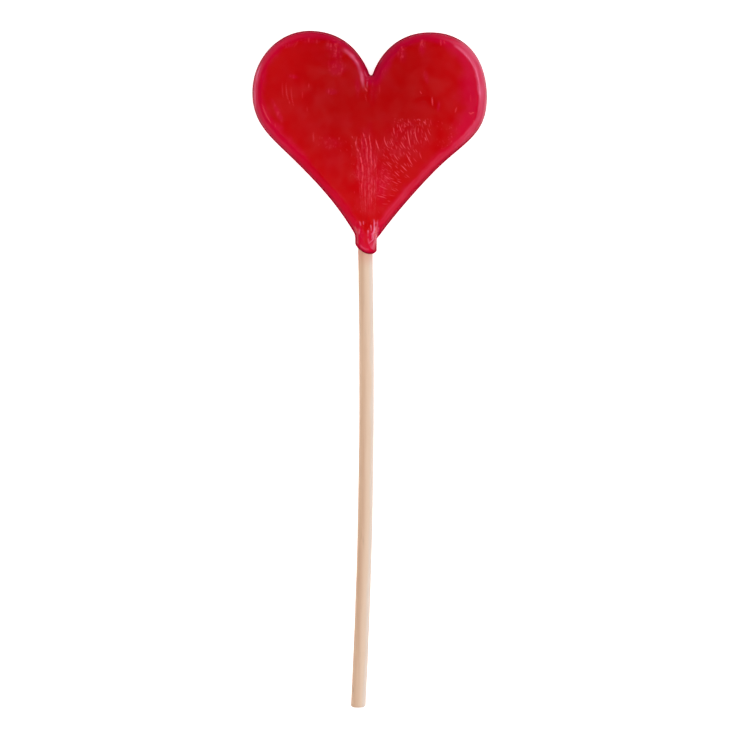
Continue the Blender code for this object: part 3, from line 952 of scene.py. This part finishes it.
    def __post_init__(self) -> None:
        """Lay out the relief once."""
        outline = self.outline.points()
        self.rim = np.vstack([outline, outline[:1]])
        rng = random.Random(self.speck_seed)
        fan = [stroke.ridge() for stroke in self.fan]
        self.wrinkles = self.folds.ridges() + fan
        self.wrinkles += self.fine_fan.ridges(self.rim, [ridge.rows[:, :2] for ridge in fan])
        for patch in self.specks:
            self.wrinkles += patch.ridges(rng)
        self.marks = [stroke.ridge() for stroke in self.strokes]
        self.bumps = [stroke.ridge() for stroke in self.lumps]
        self.shining = [line.ridge(rng) for line in self.shine]
        path = np.linspace(self.crease_top, self.crease_foot, self.crease_stations)
        left = np.linspace(1.0, 0.0, self.crease_stations)
        width = self.crease_half_width * (self.crease_foot_share + (1 - self.crease_foot_share) * left)
        self.crease = Ridge(np.column_stack([path, self.crease_depth * left, width, 0 * left]))

    def inset(self, points: Points) -> Points:
        """How far each point is from the rim."""
        return distance_to_path(points, self.rim)

    def back_offset(self, points: Points, inset: Points) -> Points:
        """Measure the back of the candy.

        Args:
            points: Places in the plane.
            inset: How far each one is from the rim.

        Returns:
            The back's distance from the middle plane.
        """
        insets, heights = np.array(self.back_profile).T * MM
        share = smoothstep(*self.collar_blend, points[:, 1])
        return share * np.interp(inset, insets, heights) + (1 - share) * self.outline.collar_height(points)

    def front_offset(self, points: Points, inset: Points) -> tuple[Points, Points]:
        """Measure the shown face of the candy.

        Args:
            points: Places in the plane.
            inset: How far each one is from the rim.

        Returns:
            The face's distance from the middle plane, and three rows: how crimson its smudges make it, how
            strong its painted pink glint lines are, and how strong its painted crest highlights and pale
            streaks are.
        """
        insets, heights = np.array(self.front_profile).T * MM
        wander = self.shoulder_wander * self.shoulder_noise.at(points)
        inset = inset + wander * smoothstep(*self.shoulder_from, inset)
        share = smoothstep(*self.collar_blend, points[:, 1])
        height = share * np.interp(inset, insets, heights) + (1 - share) * self.outline.collar_height(points)
        groups = (self.wrinkles, self.marks, self.bumps, self.shining)
        wrinkled, marked, bumpy, shining = (tallest(group, points) for group in groups)
        carved = wrinkled[0] + marked[0] + bumpy[0] + shining[0] - self.crease.at(points)[0]
        carved += self.undulation * (self.swell.at(points) - 1.0)
        height = height + carved * smoothstep(*self.relief_from, inset)
        crimson, hazy = np.max([smudge.at(points) for smudge in self.smudges], axis=0)
        # The painted highlights on the crests, with the pale streaks of the marks and smudges
        bloom_and_highlight = np.max([wrinkled[1], marked[1], bumpy[1], hazy], axis=0)
        return np.minimum(height, self.highest), np.array([crimson, shining[1], bloom_and_highlight])


@dataclass(frozen=True)
class BoiledSugar:
    """Clear red boiled sugar: deep red through the thick face and crimson at the thin rim, with painted pink
    highlights on the rim and painted highlights on the crests.
    """

    name: str = "boiled_sugar"
    deep_red: Colour = (0.465, 0.0001, 0.0005)
    light_red: Colour = (0.70, 0.0004, 0.0030)
    deep_crimson: Colour = (0.50, 0.0008, 0.030)
    light_crimson: Colour = (0.80, 0.0025, 0.036)
    # The colour of the painted pink highlights: the glow band along the rim and the glint lines
    pink: Colour = (1.0, 0.22, 0.39)
    # The colour of the painted crest highlights and of the pale streaks
    bloom_and_highlight: Colour = (0.97, 0.085, 0.125)
    # The colour of the painted dark shade line along the outer rim
    edge: Colour = (0.24, 0.001, 0.022)
    edge_range: tuple[float, float] = (0.0, 0.6)
    edge_shine: tuple[float, float] = (0.4, 0.0)
    rough_range: tuple[float, float] = (0.3, 0.7)
    roughness: tuple[float, float] = (0.06, 0.18)
    haze_range: tuple[float, float] = (0.5, 0.8)
    haze: float = 0.14
    subsurface: float = 0.15
    subsurface_reach: Colour = (0.004, 0.0005, 0.0004)
    ior: float = 1.5

    def material(self) -> bpy.types.Material:
        """Build the material.

        Returns:
            The material, which reads the numbers named in PAINTS that the mesh carries.
        """
        sheet = NodeSheet(self.name)
        light, edge = sheet.attribute("light"), sheet.attribute("edge")
        colour = sheet.mix(light, self.deep_red, self.light_red)
        crimson = sheet.mix(light, self.deep_crimson, self.light_crimson)
        cloud = sheet.noise(scale=150.0, detail=5.0)
        hazy = sheet.multiply_by(sheet.scaled(cloud, *self.haze_range), self.haze)
        colour = sheet.mix(hazy, colour, crimson)
        hues = {"crimson": crimson, "pink": self.pink, "bloom_and_highlight": self.bloom_and_highlight, "edge": self.edge}
        for paint, hue in hues.items():
            colour = sheet.mix(sheet.attribute(paint), colour, hue)
        sheet.set("Base Color", colour)
        sheet.set("Specular IOR Level", sheet.scaled(edge, *self.edge_range, *self.edge_shine))
        rough = sheet.noise(scale=300.0, detail=5.0)
        sheet.set("Roughness", sheet.scaled(rough, *self.rough_range, *self.roughness))
        sheet.shader.inputs["IOR"].default_value = self.ior
        sheet.shader.inputs["Subsurface Weight"].default_value = self.subsurface
        sheet.shader.inputs["Subsurface Radius"].default_value = self.subsurface_reach
        sheet.shader.inputs["Subsurface Scale"].default_value = 1.0
        sheet.bump(sheet.noise(scale=900.0, detail=3.0), distance=0.02 * MM, strength=0.2)
        return sheet.material


@dataclass(frozen=True)
class BirchWood:
    """Bare pale dowel wood: lengthwise grain and short pores, with a painted highlight down its right side,
    where the key light falls, that turns to a paler painted sheen at its edge.

    It is redder just under the candy's lip.
    """

    name: str = "birch_dowel"
    pale: Colour = (0.835, 0.56, 0.385)
    warm: Colour = (0.74, 0.455, 0.298)
    pore: Colour = (0.45, 0.27, 0.16)
    # Painted highlight down the stick's lit right side, then a paler painted sheen at its right edge
    painted_lit_side: Colour = (0.94, 0.71, 0.545)
    painted_sheen: Colour = (0.90, 0.75, 0.66)
    lip_tint: Colour = (0.74, 0.27, 0.20)
    grain_stretch: tuple[float, float, float] = (900.0, 22.0, 900.0)
    grain_range: tuple[float, float] = (0.35, 0.68)
    band_stretch: tuple[float, float, float] = (260.0, 9.0, 260.0)
    band_range: tuple[float, float] = (0.45, 0.7)
    band_share: float = 0.45
    pore_stretch: tuple[float, float, float] = (2600.0, 150.0, 2600.0)
    pore_range: tuple[float, float] = (0.66, 0.76)
    pore_share: float = 0.55
    rough_range: tuple[float, float] = (0.3, 0.7)
    roughness: tuple[float, float] = (0.5, 0.72)
    specular: float = 0.35

    def material(self) -> bpy.types.Material:
        """Build the material.

        Returns:
            The material, whose grain runs along Y.
        """
        sheet = NodeSheet(self.name)
        grain = sheet.noise(scale=1.0, detail=4.0, stretch=self.grain_stretch)
        colour = sheet.mix(sheet.scaled(grain, *self.grain_range), self.pale, self.warm)
        band = sheet.noise(scale=1.0, detail=2.0, stretch=self.band_stretch)
        banded = sheet.multiply_by(sheet.scaled(band, *self.band_range), self.band_share)
        colour = sheet.mix(banded, colour, self.warm)
        pores = sheet.noise(scale=1.0, detail=1.0, stretch=self.pore_stretch)
        pored = sheet.multiply_by(sheet.scaled(pores, *self.pore_range), self.pore_share)
        colour = sheet.mix(pored, colour, self.pore)
        for paint, hue in (("painted_lit_side", self.painted_lit_side), ("painted_sheen", self.painted_sheen), ("lip_tint", self.lip_tint)):
            colour = sheet.mix(sheet.attribute(paint), colour, hue)
        sheet.set("Base Color", colour)
        sheet.set("Roughness", sheet.scaled(grain, *self.rough_range, *self.roughness))
        sheet.shader.inputs["Specular IOR Level"].default_value = self.specular
        sheet.bump(grain, distance=0.05 * MM, strength=0.5)
        return sheet.material


@dataclass(frozen=True)
class WhiteTable:
    """A matt white table top with a faint mottle, lit a little from below as a light table is."""

    name: str = "white_table"
    light: Colour = (0.96, 0.96, 0.96)
    dark: Colour = (0.94, 0.94, 0.94)
    roughness: float = 0.6
    specular: float = 0.2
    glow: float = 0.65

    def material(self) -> bpy.types.Material:
        """The table's material."""
        sheet = NodeSheet(self.name)
        sheet.set("Base Color", sheet.mix(sheet.noise(scale=60.0, detail=3.0), self.light, self.dark))
        sheet.shader.inputs["Roughness"].default_value = self.roughness
        sheet.shader.inputs["Specular IOR Level"].default_value = self.specular
        sheet.shader.inputs["Emission Color"].default_value = (1.0, 1.0, 1.0, 1.0)
        sheet.shader.inputs["Emission Strength"].default_value = self.glow
        return sheet.material


class NodeSheet:
    """A new material and short ways to add the nodes that the finishes use."""

    def __init__(self, name: str) -> None:
        """Start a material.

        Args:
            name: The material's name.
        """
        self.material = bpy.data.materials.new(name)
        self.material.use_nodes = True
        self.tree = self.material.node_tree
        self.shader = self.tree.nodes["Principled BSDF"]

    def set(self, socket: str, source: bpy.types.NodeSocket) -> None:
        """Link a result to one of the shader's sockets."""
        self.tree.links.new(source, self.shader.inputs[socket])

    def attribute(self, name: str) -> bpy.types.NodeSocket:
        """Read a number that the mesh carries."""
        node = self.tree.nodes.new("ShaderNodeAttribute")
        node.attribute_name = name
        return node.outputs["Fac"]

    def noise(
        self, scale: float, detail: float, stretch: tuple[float, float, float] = (1.0, 1.0, 1.0)
    ) -> bpy.types.NodeSocket:
        """Add noise in the object's own space.

        Args:
            scale: How many features there are to a metre.
            detail: How many finer layers it has.
            stretch: A further scale along each axis.

        Returns:
            The noise, about 0.5 on average.
        """
        place = self.tree.nodes.new("ShaderNodeTexCoord")
        mapping = self.tree.nodes.new("ShaderNodeMapping")
        mapping.inputs["Scale"].default_value = stretch
        node = self.tree.nodes.new("ShaderNodeTexNoise")
        node.inputs["Scale"].default_value = scale
        node.inputs["Detail"].default_value = detail
        self.tree.links.new(place.outputs["Object"], mapping.inputs["Vector"])
        self.tree.links.new(mapping.outputs["Vector"], node.inputs["Vector"])
        return node.outputs["Fac"]

    def scaled(
        self, source: bpy.types.NodeSocket, low: float, high: float, to_low: float = 0.0, to_high: float = 1.0
    ) -> bpy.types.NodeSocket:
        """Bring a range of values to another range.

        Args:
            source: The values.
            low: The value that becomes to_low.
            high: The value that becomes to_high.
            to_low: The result's lower limit.
            to_high: The result's upper limit.

        Returns:
            The result, kept within its limits.
        """
        node = self.tree.nodes.new("ShaderNodeMapRange")
        node.clamp = True
        self.tree.links.new(source, node.inputs["Value"])
        for socket, value in zip(("From Min", "From Max", "To Min", "To Max"), (low, high, to_low, to_high)):
            node.inputs[socket].default_value = value
        return node.outputs["Result"]

    def multiply_by(self, source: bpy.types.NodeSocket, factor: float) -> bpy.types.NodeSocket:
        """A result times a plain number."""
        node = self.tree.nodes.new("ShaderNodeMath")
        node.operation = "MULTIPLY"
        self.tree.links.new(source, node.inputs[0])
        node.inputs[1].default_value = factor
        return node.outputs["Value"]

    def mix(
        self,
        share: bpy.types.NodeSocket,
        first: bpy.types.NodeSocket | Colour,
        second: bpy.types.NodeSocket | Colour,
    ) -> bpy.types.NodeSocket:
        """Blend two colours.

        Args:
            share: How much of the second one there is.
            first: A colour, or a result that is one.
            second: The same.

        Returns:
            The blend.
        """
        node = self.tree.nodes.new("ShaderNodeMix")
        node.data_type = "RGBA"
        self.tree.links.new(share, node.inputs["Factor"])
        for socket, colour in ((node.inputs[6], first), (node.inputs[7], second)):
            if isinstance(colour, bpy.types.NodeSocket):
                self.tree.links.new(colour, socket)
            else:
                socket.default_value = (*colour, 1.0)
        return node.outputs[2]

    def bump(self, source: bpy.types.NodeSocket, distance: float, strength: float) -> None:
        """Roughen the surface.

        Args:
            source: Its height, from 0 to 1.
            distance: How far 1 stands above 0.
            strength: How much of it shows.
        """
        node = self.tree.nodes.new("ShaderNodeBump")
        node.inputs["Strength"].default_value = strength
        node.inputs["Distance"].default_value = distance
        self.tree.links.new(source, node.inputs["Height"])
        self.tree.links.new(node.outputs["Normal"], self.shader.inputs["Normal"])


def add_object(name: str, mesh: bpy.types.Mesh, material: bpy.types.Material) -> bpy.types.Object:
    """Put a mesh in the scene with smooth shading.

    Args:
        name: The object's name.
        mesh: Its mesh.
        material: Its finish.

    Returns:
        The object.
    """
    obj = bpy.data.objects.new(name, mesh)
    bpy.context.scene.collection.objects.link(obj)
    mesh.materials.append(material)
    mesh.shade_smooth()
    return obj


def carry(mesh: bpy.types.Mesh, name: str, values: Points) -> None:
    """Give a mesh a number at each of its points, for its finish to read.

    Args:
        mesh: The mesh.
        name: The number's name.
        values: One value for each point.
    """
    mesh.attributes.new(name, "FLOAT", "POINT").data.foreach_set("value", values.astype(np.float32))


def stands_for(piece: bpy.types.Object, node: str) -> None:
    """Hang a piece under the root body and hide the CAD node that it replaces.

    Args:
        piece: The piece.
        node: The CAD node that it stands for.
    """
    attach(piece, "root")
    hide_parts(node)


@dataclass
class CandyHeart:
    """The candy: a fine mesh of both faces that share the rim."""

    surface: CandySurface = field(default_factory=CandySurface)
    glow: RimGlow = field(default_factory=RimGlow)
    finish: BoiledSugar = field(default_factory=BoiledSugar)
    rim_insets: tuple[float, ...] = (0.04, 0.12, 0.26, 0.45, 0.7, 1.0, 1.3, 1.6, 1.9)
    back_insets: tuple[float, ...] = (0.04, 0.12, 0.45, 1.0, 2.6, 3.6, 4.6)
    face_pitch: float = 0.25 * MM
    worked_pitch: float = 0.125 * MM
    back_pitch: float = 1.2 * MM
    worked_low: tuple[float, float] = (-5.5 * MM, -37.0 * MM)
    worked_high: tuple[float, float] = (17.0 * MM, 0.5 * MM)
    lightness: tuple[float, float, float] = (0.15, 0.75, 0.40)
    light_down: tuple[float, float] = (-26.0 * MM, 6.0 * MM)
    light_out: tuple[float, float] = (8.0 * MM, 26.0 * MM)
    # Where the painted dark shade line along the outer rim reaches, how strong it is, and how the painted
    # pink highlight clears it
    dark_edge: tuple[float, float] = (0.0, 1.15 * MM)
    edge_share: float = 0.75
    edge_cleared: float = 2.0
    ring_keep: float = 0.96
    back_clear: float = 0.5
    face_clear: float = 0.6
    merge: float = 1e-7

    def rings(self, outline: Points, insets: tuple[float, ...]) -> Points:
        """Move the outline inwards.

        Args:
            outline: The candy's outline.
            insets: How far in each copy goes, in millimetres.

        Returns:
            The copies' points, without those that cross over at a narrow place.
        """
        along = np.roll(outline, -1, axis=0) - np.roll(outline, 1, axis=0)
        along /= np.hypot(along[:, 0], along[:, 1])[:, None]
        inwards = np.stack([-along[:, 1], along[:, 0]], axis=1)
        rings = []
        for inset in insets:
            ring = outline + inwards * inset * MM
            rings.append(ring[self.surface.inset(ring) > self.ring_keep * inset * MM])
        return np.vstack(rings)

    def grid(self, low: Points, high: Points, pitch: float) -> Points:
        """A grid of evenly spaced points.

        Args:
            low: The box's lowest corner.
            high: The box's highest corner.
            pitch: The distance between neighbours.

        Returns:
            The points.
        """
        xs = np.arange(low[0], high[0], pitch)
        ys = np.arange(low[1], high[1], pitch * math.sqrt(0.75))
        x, y = np.meshgrid(xs, ys)
        x = x + 0.5 * pitch * (np.arange(len(ys)) % 2)[:, None]
        return np.column_stack([x.ravel(), y.ravel()])

    def inner_points(self, outline: Points, face: Face) -> Points:
        """Choose where the mesh has its points.

        Args:
            outline: The candy's outline.
            face: Which face they are for.

        Returns:
            Points inside the outline, closer together where the face is wrinkled.
        """
        low, high = outline.min(axis=0), outline.max(axis=0)
        if face is Face.BACK:
            insets = self.back_insets
            grids = [(self.grid(low, high, self.back_pitch), self.back_clear * self.back_pitch)]
        else:
            insets = self.rim_insets
            coarse = self.grid(low, high, self.face_pitch)
            worked = ((coarse > self.worked_low) & (coarse < self.worked_high)).all(axis=1)
            fine = self.grid(np.array(self.worked_low), np.array(self.worked_high), self.worked_pitch)
            grids = [
                (coarse[~worked], self.face_clear * self.face_pitch),
                (fine, self.face_clear * self.worked_pitch),
            ]
        groups = [self.rings(outline, insets)]
        groups += [grid[self.surface.inset(grid) > insets[-1] * MM + gap] for grid, gap in grids]
        return self.inside(np.vstack(groups), outline)

    def inside(self, points: Points, outline: Points) -> Points:
        """Keep the points that are inside the outline.

        Args:
            points: The points.
            outline: The candy's outline.

        Returns:
            Those inside.
        """
        crossings = np.zeros(len(points), int)
        for start, end in zip(outline, np.roll(outline, -1, axis=0)):
            spans = (start[1] > points[:, 1]) != (end[1] > points[:, 1])
            if spans.any():
                x = start[0] + (points[:, 1] - start[1]) * (end[0] - start[0]) / (end[1] - start[1])
                crossings += spans & (points[:, 0] < x)
        return points[crossings % 2 == 1]

    def sheet(self, outline: Points, face: Face) -> tuple[Points, list[tuple[int, ...]], Points]:
        """Mesh one face.

        Args:
            outline: The candy's outline.
            face: Which face.

        Returns:
            Its points, its triangles and the numbers that its finish reads, one row for each of PAINTS.
        """
        count = len(outline)
        inner = self.inner_points(outline, face)
        flat = [Vector(p) for p in np.vstack([outline, inner])]
        edges = [(i, (i + 1) % count) for i in range(count)]
        points, _, triangles, _, _, _ = delaunay_2d_cdt(flat, edges, [], INSIDE_ONLY, self.merge)
        points = np.array([tuple(p) for p in points])
        inset = self.surface.inset(points)
        if face is Face.FRONT:
            offset, marks = self.surface.front_offset(points, inset)
        else:
            offset, marks = self.surface.back_offset(points, inset), np.zeros((3, len(points)))
        offset[:count] = 0.0
        least, lower, outer = self.lightness
        light = least + lower * (1 - smoothstep(*self.light_down, points[:, 1]))
        light += outer * smoothstep(*self.light_out, np.abs(points[:, 0]))
        # The rim's crimson and its painted pink highlight band, with the smudges' crimson and the painted
        # glint lines
        crimson, pink = np.maximum(self.glow.paint(points, inset), marks[:2])
        # A painted dark shade line along the outer rim, cleared where the painted pink highlight is
        edge = self.edge_share * (1 - smoothstep(*self.dark_edge, inset))
        edge *= np.clip(1 - self.edge_cleared * pink, 0.0, 1.0)
        paints = np.array([edge, np.clip(light, 0.0, 1.0), crimson, pink, marks[2]])
        level = self.surface.middle + face.value * offset
        turned = [tuple(t) if face is Face.FRONT else tuple(reversed(t)) for t in triangles]
        return np.column_stack([points, level]), turned, paints

    def mesh(self) -> bpy.types.Mesh:
        """Join both faces.

        Returns:
            A closed mesh that carries the numbers that its finish reads.
        """
        outline = self.surface.outline.points()
        count = len(outline)
        front, front_faces, front_paints = self.sheet(outline, Face.FRONT)
        back, back_faces, back_paints = self.sheet(outline, Face.BACK)
        shift = len(front) - count
        faces = front_faces + [tuple(i if i < count else i + shift for i in face) for face in back_faces]
        mesh = bpy.data.meshes.new("candy_heart")
        mesh.from_pydata(np.vstack([front, back[count:]]).tolist(), [], faces)
        for name, values in zip(PAINTS, np.hstack([front_paints, back_paints[:, count:]])):
            carry(mesh, name, values)
        mesh.validate()
        return mesh

    def build(self) -> bpy.types.Object:
        """Make the candy and place it.

        Returns:
            The piece.
        """
        piece = add_object("candy_heart", self.mesh(), self.finish.material())
        stands_for(piece, "heart_candy")
        return piece


@dataclass
class DowelStick:
    """The wooden stick, on an arc of large radius, with grain raised along it and a sawn foot."""

    finish: BirchWood = field(default_factory=BirchWood)
    radius: float = 2.0 * MM
    length: float = 150.0 * MM
    foot_y: float = -156.2 * MM
    axis_z: float = 4.0 * MM
    apex: tuple[float, float] = (-0.82 * MM, -70.0 * MM)
    bend_radius: float = 1660 * MM
    chamfer: float = 0.55 * MM
    stations: int = 420
    sides: int = 56
    end_steps: tuple[tuple[float, float], ...] = ((0.0, 1.0), (0.25, 0.55), (0.6, 0.2))
    grain_depth: float = 0.035 * MM
    grain: SmoothNoise = SmoothNoise(17, 1.0)
    grains_round: float = 4.5
    grain_length: float = 9.0 * MM
    fine_grain: float = 0.5
    fine_stretch: tuple[float, float] = (2.0, 2.5)
    fine_shift: float = 17.0
    sharp_angle: float = 50.0
    wander: float = 0.12
    wander_noise: SmoothNoise = SmoothNoise(18, 1.0)
    wander_cell: tuple[float, float] = (0.5, 7.0 * MM)
    # How far across the stick the painted highlight and the paler painted sheen on its right side reach
    lit_side_from: tuple[float, float] = (-0.60, 0.45)
    lit_side_share: float = 0.85
    sheen_from: tuple[float, float] = (0.35, 0.80)
    sheen_share: float = 0.85
    lip_tint_from: tuple[float, float] = (-40.0 * MM, -35.5 * MM)
    lip_tint_share: float = 0.5
    lip_tint_wander: float = 4.0 * MM

    def axis_x(self, y: float | Points) -> float | Points:
        """Sideways place of the stick's axis at a height y."""
        return self.apex[0] - (y - self.apex[1]) ** 2 / (2 * self.bend_radius)

    def mesh(self) -> bpy.types.Mesh:
        """Turn the stick ring by ring.

        Returns:
            A closed mesh that carries the numbers that its finish reads.
        """
        ease = self.chamfer / self.radius
        ends = [(along * self.chamfer, 1 - taken * ease) for along, taken in self.end_steps]
        run = [(self.length * i / self.stations, 1.0) for i in range(1, self.stations)]
        rings = ends + run + [(self.length - along, share) for along, share in reversed(ends)]
        turns = np.arange(self.sides) * math.tau / self.sides
        build = bmesh.new()
        loops = []
        for along, share in rings:
            y = self.foot_y + along
            rows = np.column_stack([turns * self.grains_round, np.full(self.sides, y / self.grain_length)])
            fine = self.grain.at(rows * self.fine_stretch + self.fine_shift)
            raised = self.grain.at(rows) - 1 + self.fine_grain * (fine - 1)
            radius = share * (self.radius + self.grain_depth * raised)
            x = self.axis_x(y) + radius * np.cos(turns)
            z = self.axis_z + radius * np.sin(turns)
            loops.append([build.verts.new(corner) for corner in zip(x, np.full(self.sides, y), z)])
        for lower, upper in zip(loops[:-1], loops[1:]):
            for i in range(self.sides):
                j = (i + 1) % self.sides
                build.faces.new((lower[i], upper[i], upper[j], lower[j]))
        build.faces.new(loops[0])
        build.faces.new(list(reversed(loops[-1])))
        bmesh.ops.recalc_face_normals(build, faces=build.faces)
        mesh = bpy.data.meshes.new("dowel_stick")
        build.to_mesh(mesh)
        build.free()
        corners = np.array([vertex.co for vertex in mesh.vertices])
        aside = (corners[:, 0] - self.axis_x(corners[:, 1])) / self.radius
        places = np.column_stack([aside, corners[:, 1]]) / self.wander_cell
        wander = self.wander * self.wander_noise.at(places)
        # The right side is painted lighter where the key light falls, and its edge paler still as a painted
        # sheen
        painted_lit_side = self.lit_side_share * smoothstep(*self.lit_side_from, aside + wander)
        painted_sheen = self.sheen_share * smoothstep(*self.sheen_from, aside + wander)
        lip_tint = self.lip_tint_share * smoothstep(*self.lip_tint_from, corners[:, 1] + self.lip_tint_wander * wander)
        for name, values in (("painted_lit_side", painted_lit_side), ("painted_sheen", painted_sheen), ("lip_tint", lip_tint)):
            carry(mesh, name, values)
        return mesh

    def build(self) -> bpy.types.Object:
        """Make the stick and place it.

        Returns:
            The piece.
        """
        piece = add_object("dowel_stick", self.mesh(), self.finish.material())
        piece.data.set_sharp_from_angle(angle=math.radians(self.sharp_angle))
        stands_for(piece, "stick")
        return piece


@dataclass(frozen=True)
class SoftBox:
    """A rectangular studio light: its compass and height angles from the candy, its sides and its brightness.

    A light that doesn't shine is left out of reflections.
    """

    name: str
    around: float
    above: float
    width: float
    height: float
    radiance: float
    distance: float = 1.3
    shines: bool = True

    def build(self, aim: Vector) -> None:
        """Set the light up.

        Args:
            aim: The point that it faces.
        """
        around, above = math.radians(self.around), math.radians(self.above)
        level = Vector((math.cos(around), math.sin(around), 0.0)) * math.cos(above)
        towards = level + Vector((0.0, 0.0, math.sin(above)))
        light = bpy.data.lights.new(self.name, "AREA")
        light.shape = "RECTANGLE"
        light.size = self.width
        light.size_y = self.height
        light.energy = self.radiance * math.pi * self.width * self.height
        obj = bpy.data.objects.new(self.name, light)
        obj.location = aim + towards * self.distance
        obj.rotation_euler = towards.to_track_quat("Z", "Y").to_euler()
        obj.visible_glossy = self.shines
        bpy.context.scene.collection.objects.link(obj)


@dataclass
class Studio:
    """The white table, the soft lights and the camera that looks straight down."""

    table: WhiteTable = field(default_factory=WhiteTable)
    table_side: float = 4.0
    aim: tuple[float, float, float] = (0.066 * MM, -66.8 * MM, 4.0 * MM)
    camera_height: float = 1.2
    view_width: float = 196.1 * MM
    sensor: float = 36.0
    ambient: float = 0.01
    lights: tuple[SoftBox, ...] = (
        SoftBox("overhead_box", 0, 90, 1.6, 1.6, 2.4, 1.5, shines=False),
        SoftBox("right_box", 15, 38, 0.55, 0.55, 3.6, shines=False),
        SoftBox("right_sheen", 15, 38, 0.5, 0.5, 1.4),
        SoftBox("left_box", 168, 38, 0.55, 0.55, 2.5, shines=False),
    )

    def build(self) -> None:
        """Set the whole studio up."""
        bpy.ops.mesh.primitive_plane_add(size=self.table_side, location=(0.0, 0.0, 0.0))
        table = bpy.context.object
        table.name = "table_top"
        table.data.materials.append(self.table.material())
        aim = Vector(self.aim)
        for light in self.lights:
            light.build(aim)
        world = bpy.data.worlds.new("studio_air")
        world.use_nodes = True
        background = world.node_tree.nodes["Background"]
        background.inputs["Color"].default_value = (1.0, 1.0, 1.0, 1.0)
        background.inputs["Strength"].default_value = self.ambient
        bpy.context.scene.world = world
        bpy.context.scene.view_settings.view_transform = "Standard"
        lens = bpy.data.cameras.new("overhead")
        lens.sensor_width = self.sensor
        lens.lens = self.sensor * self.camera_height / self.view_width
        camera = bpy.data.objects.new("overhead", lens)
        camera.location = aim + Vector((0.0, 0.0, self.camera_height))
        bpy.context.scene.collection.objects.link(camera)
        bpy.context.scene.camera = camera


def main() -> None:
    """Build the studio, the candy and the stick, and report each piece."""
    logging.basicConfig(level=logging.INFO, format="%(name)s: %(message)s")
    Studio().build()
    for maker in (CandyHeart(), DowelStick()):
        piece = maker.build()
        log.info("%s: %d points, %d faces", piece.name, len(piece.data.vertices), len(piece.data.polygons))


if __name__ == "__main__":
    main()
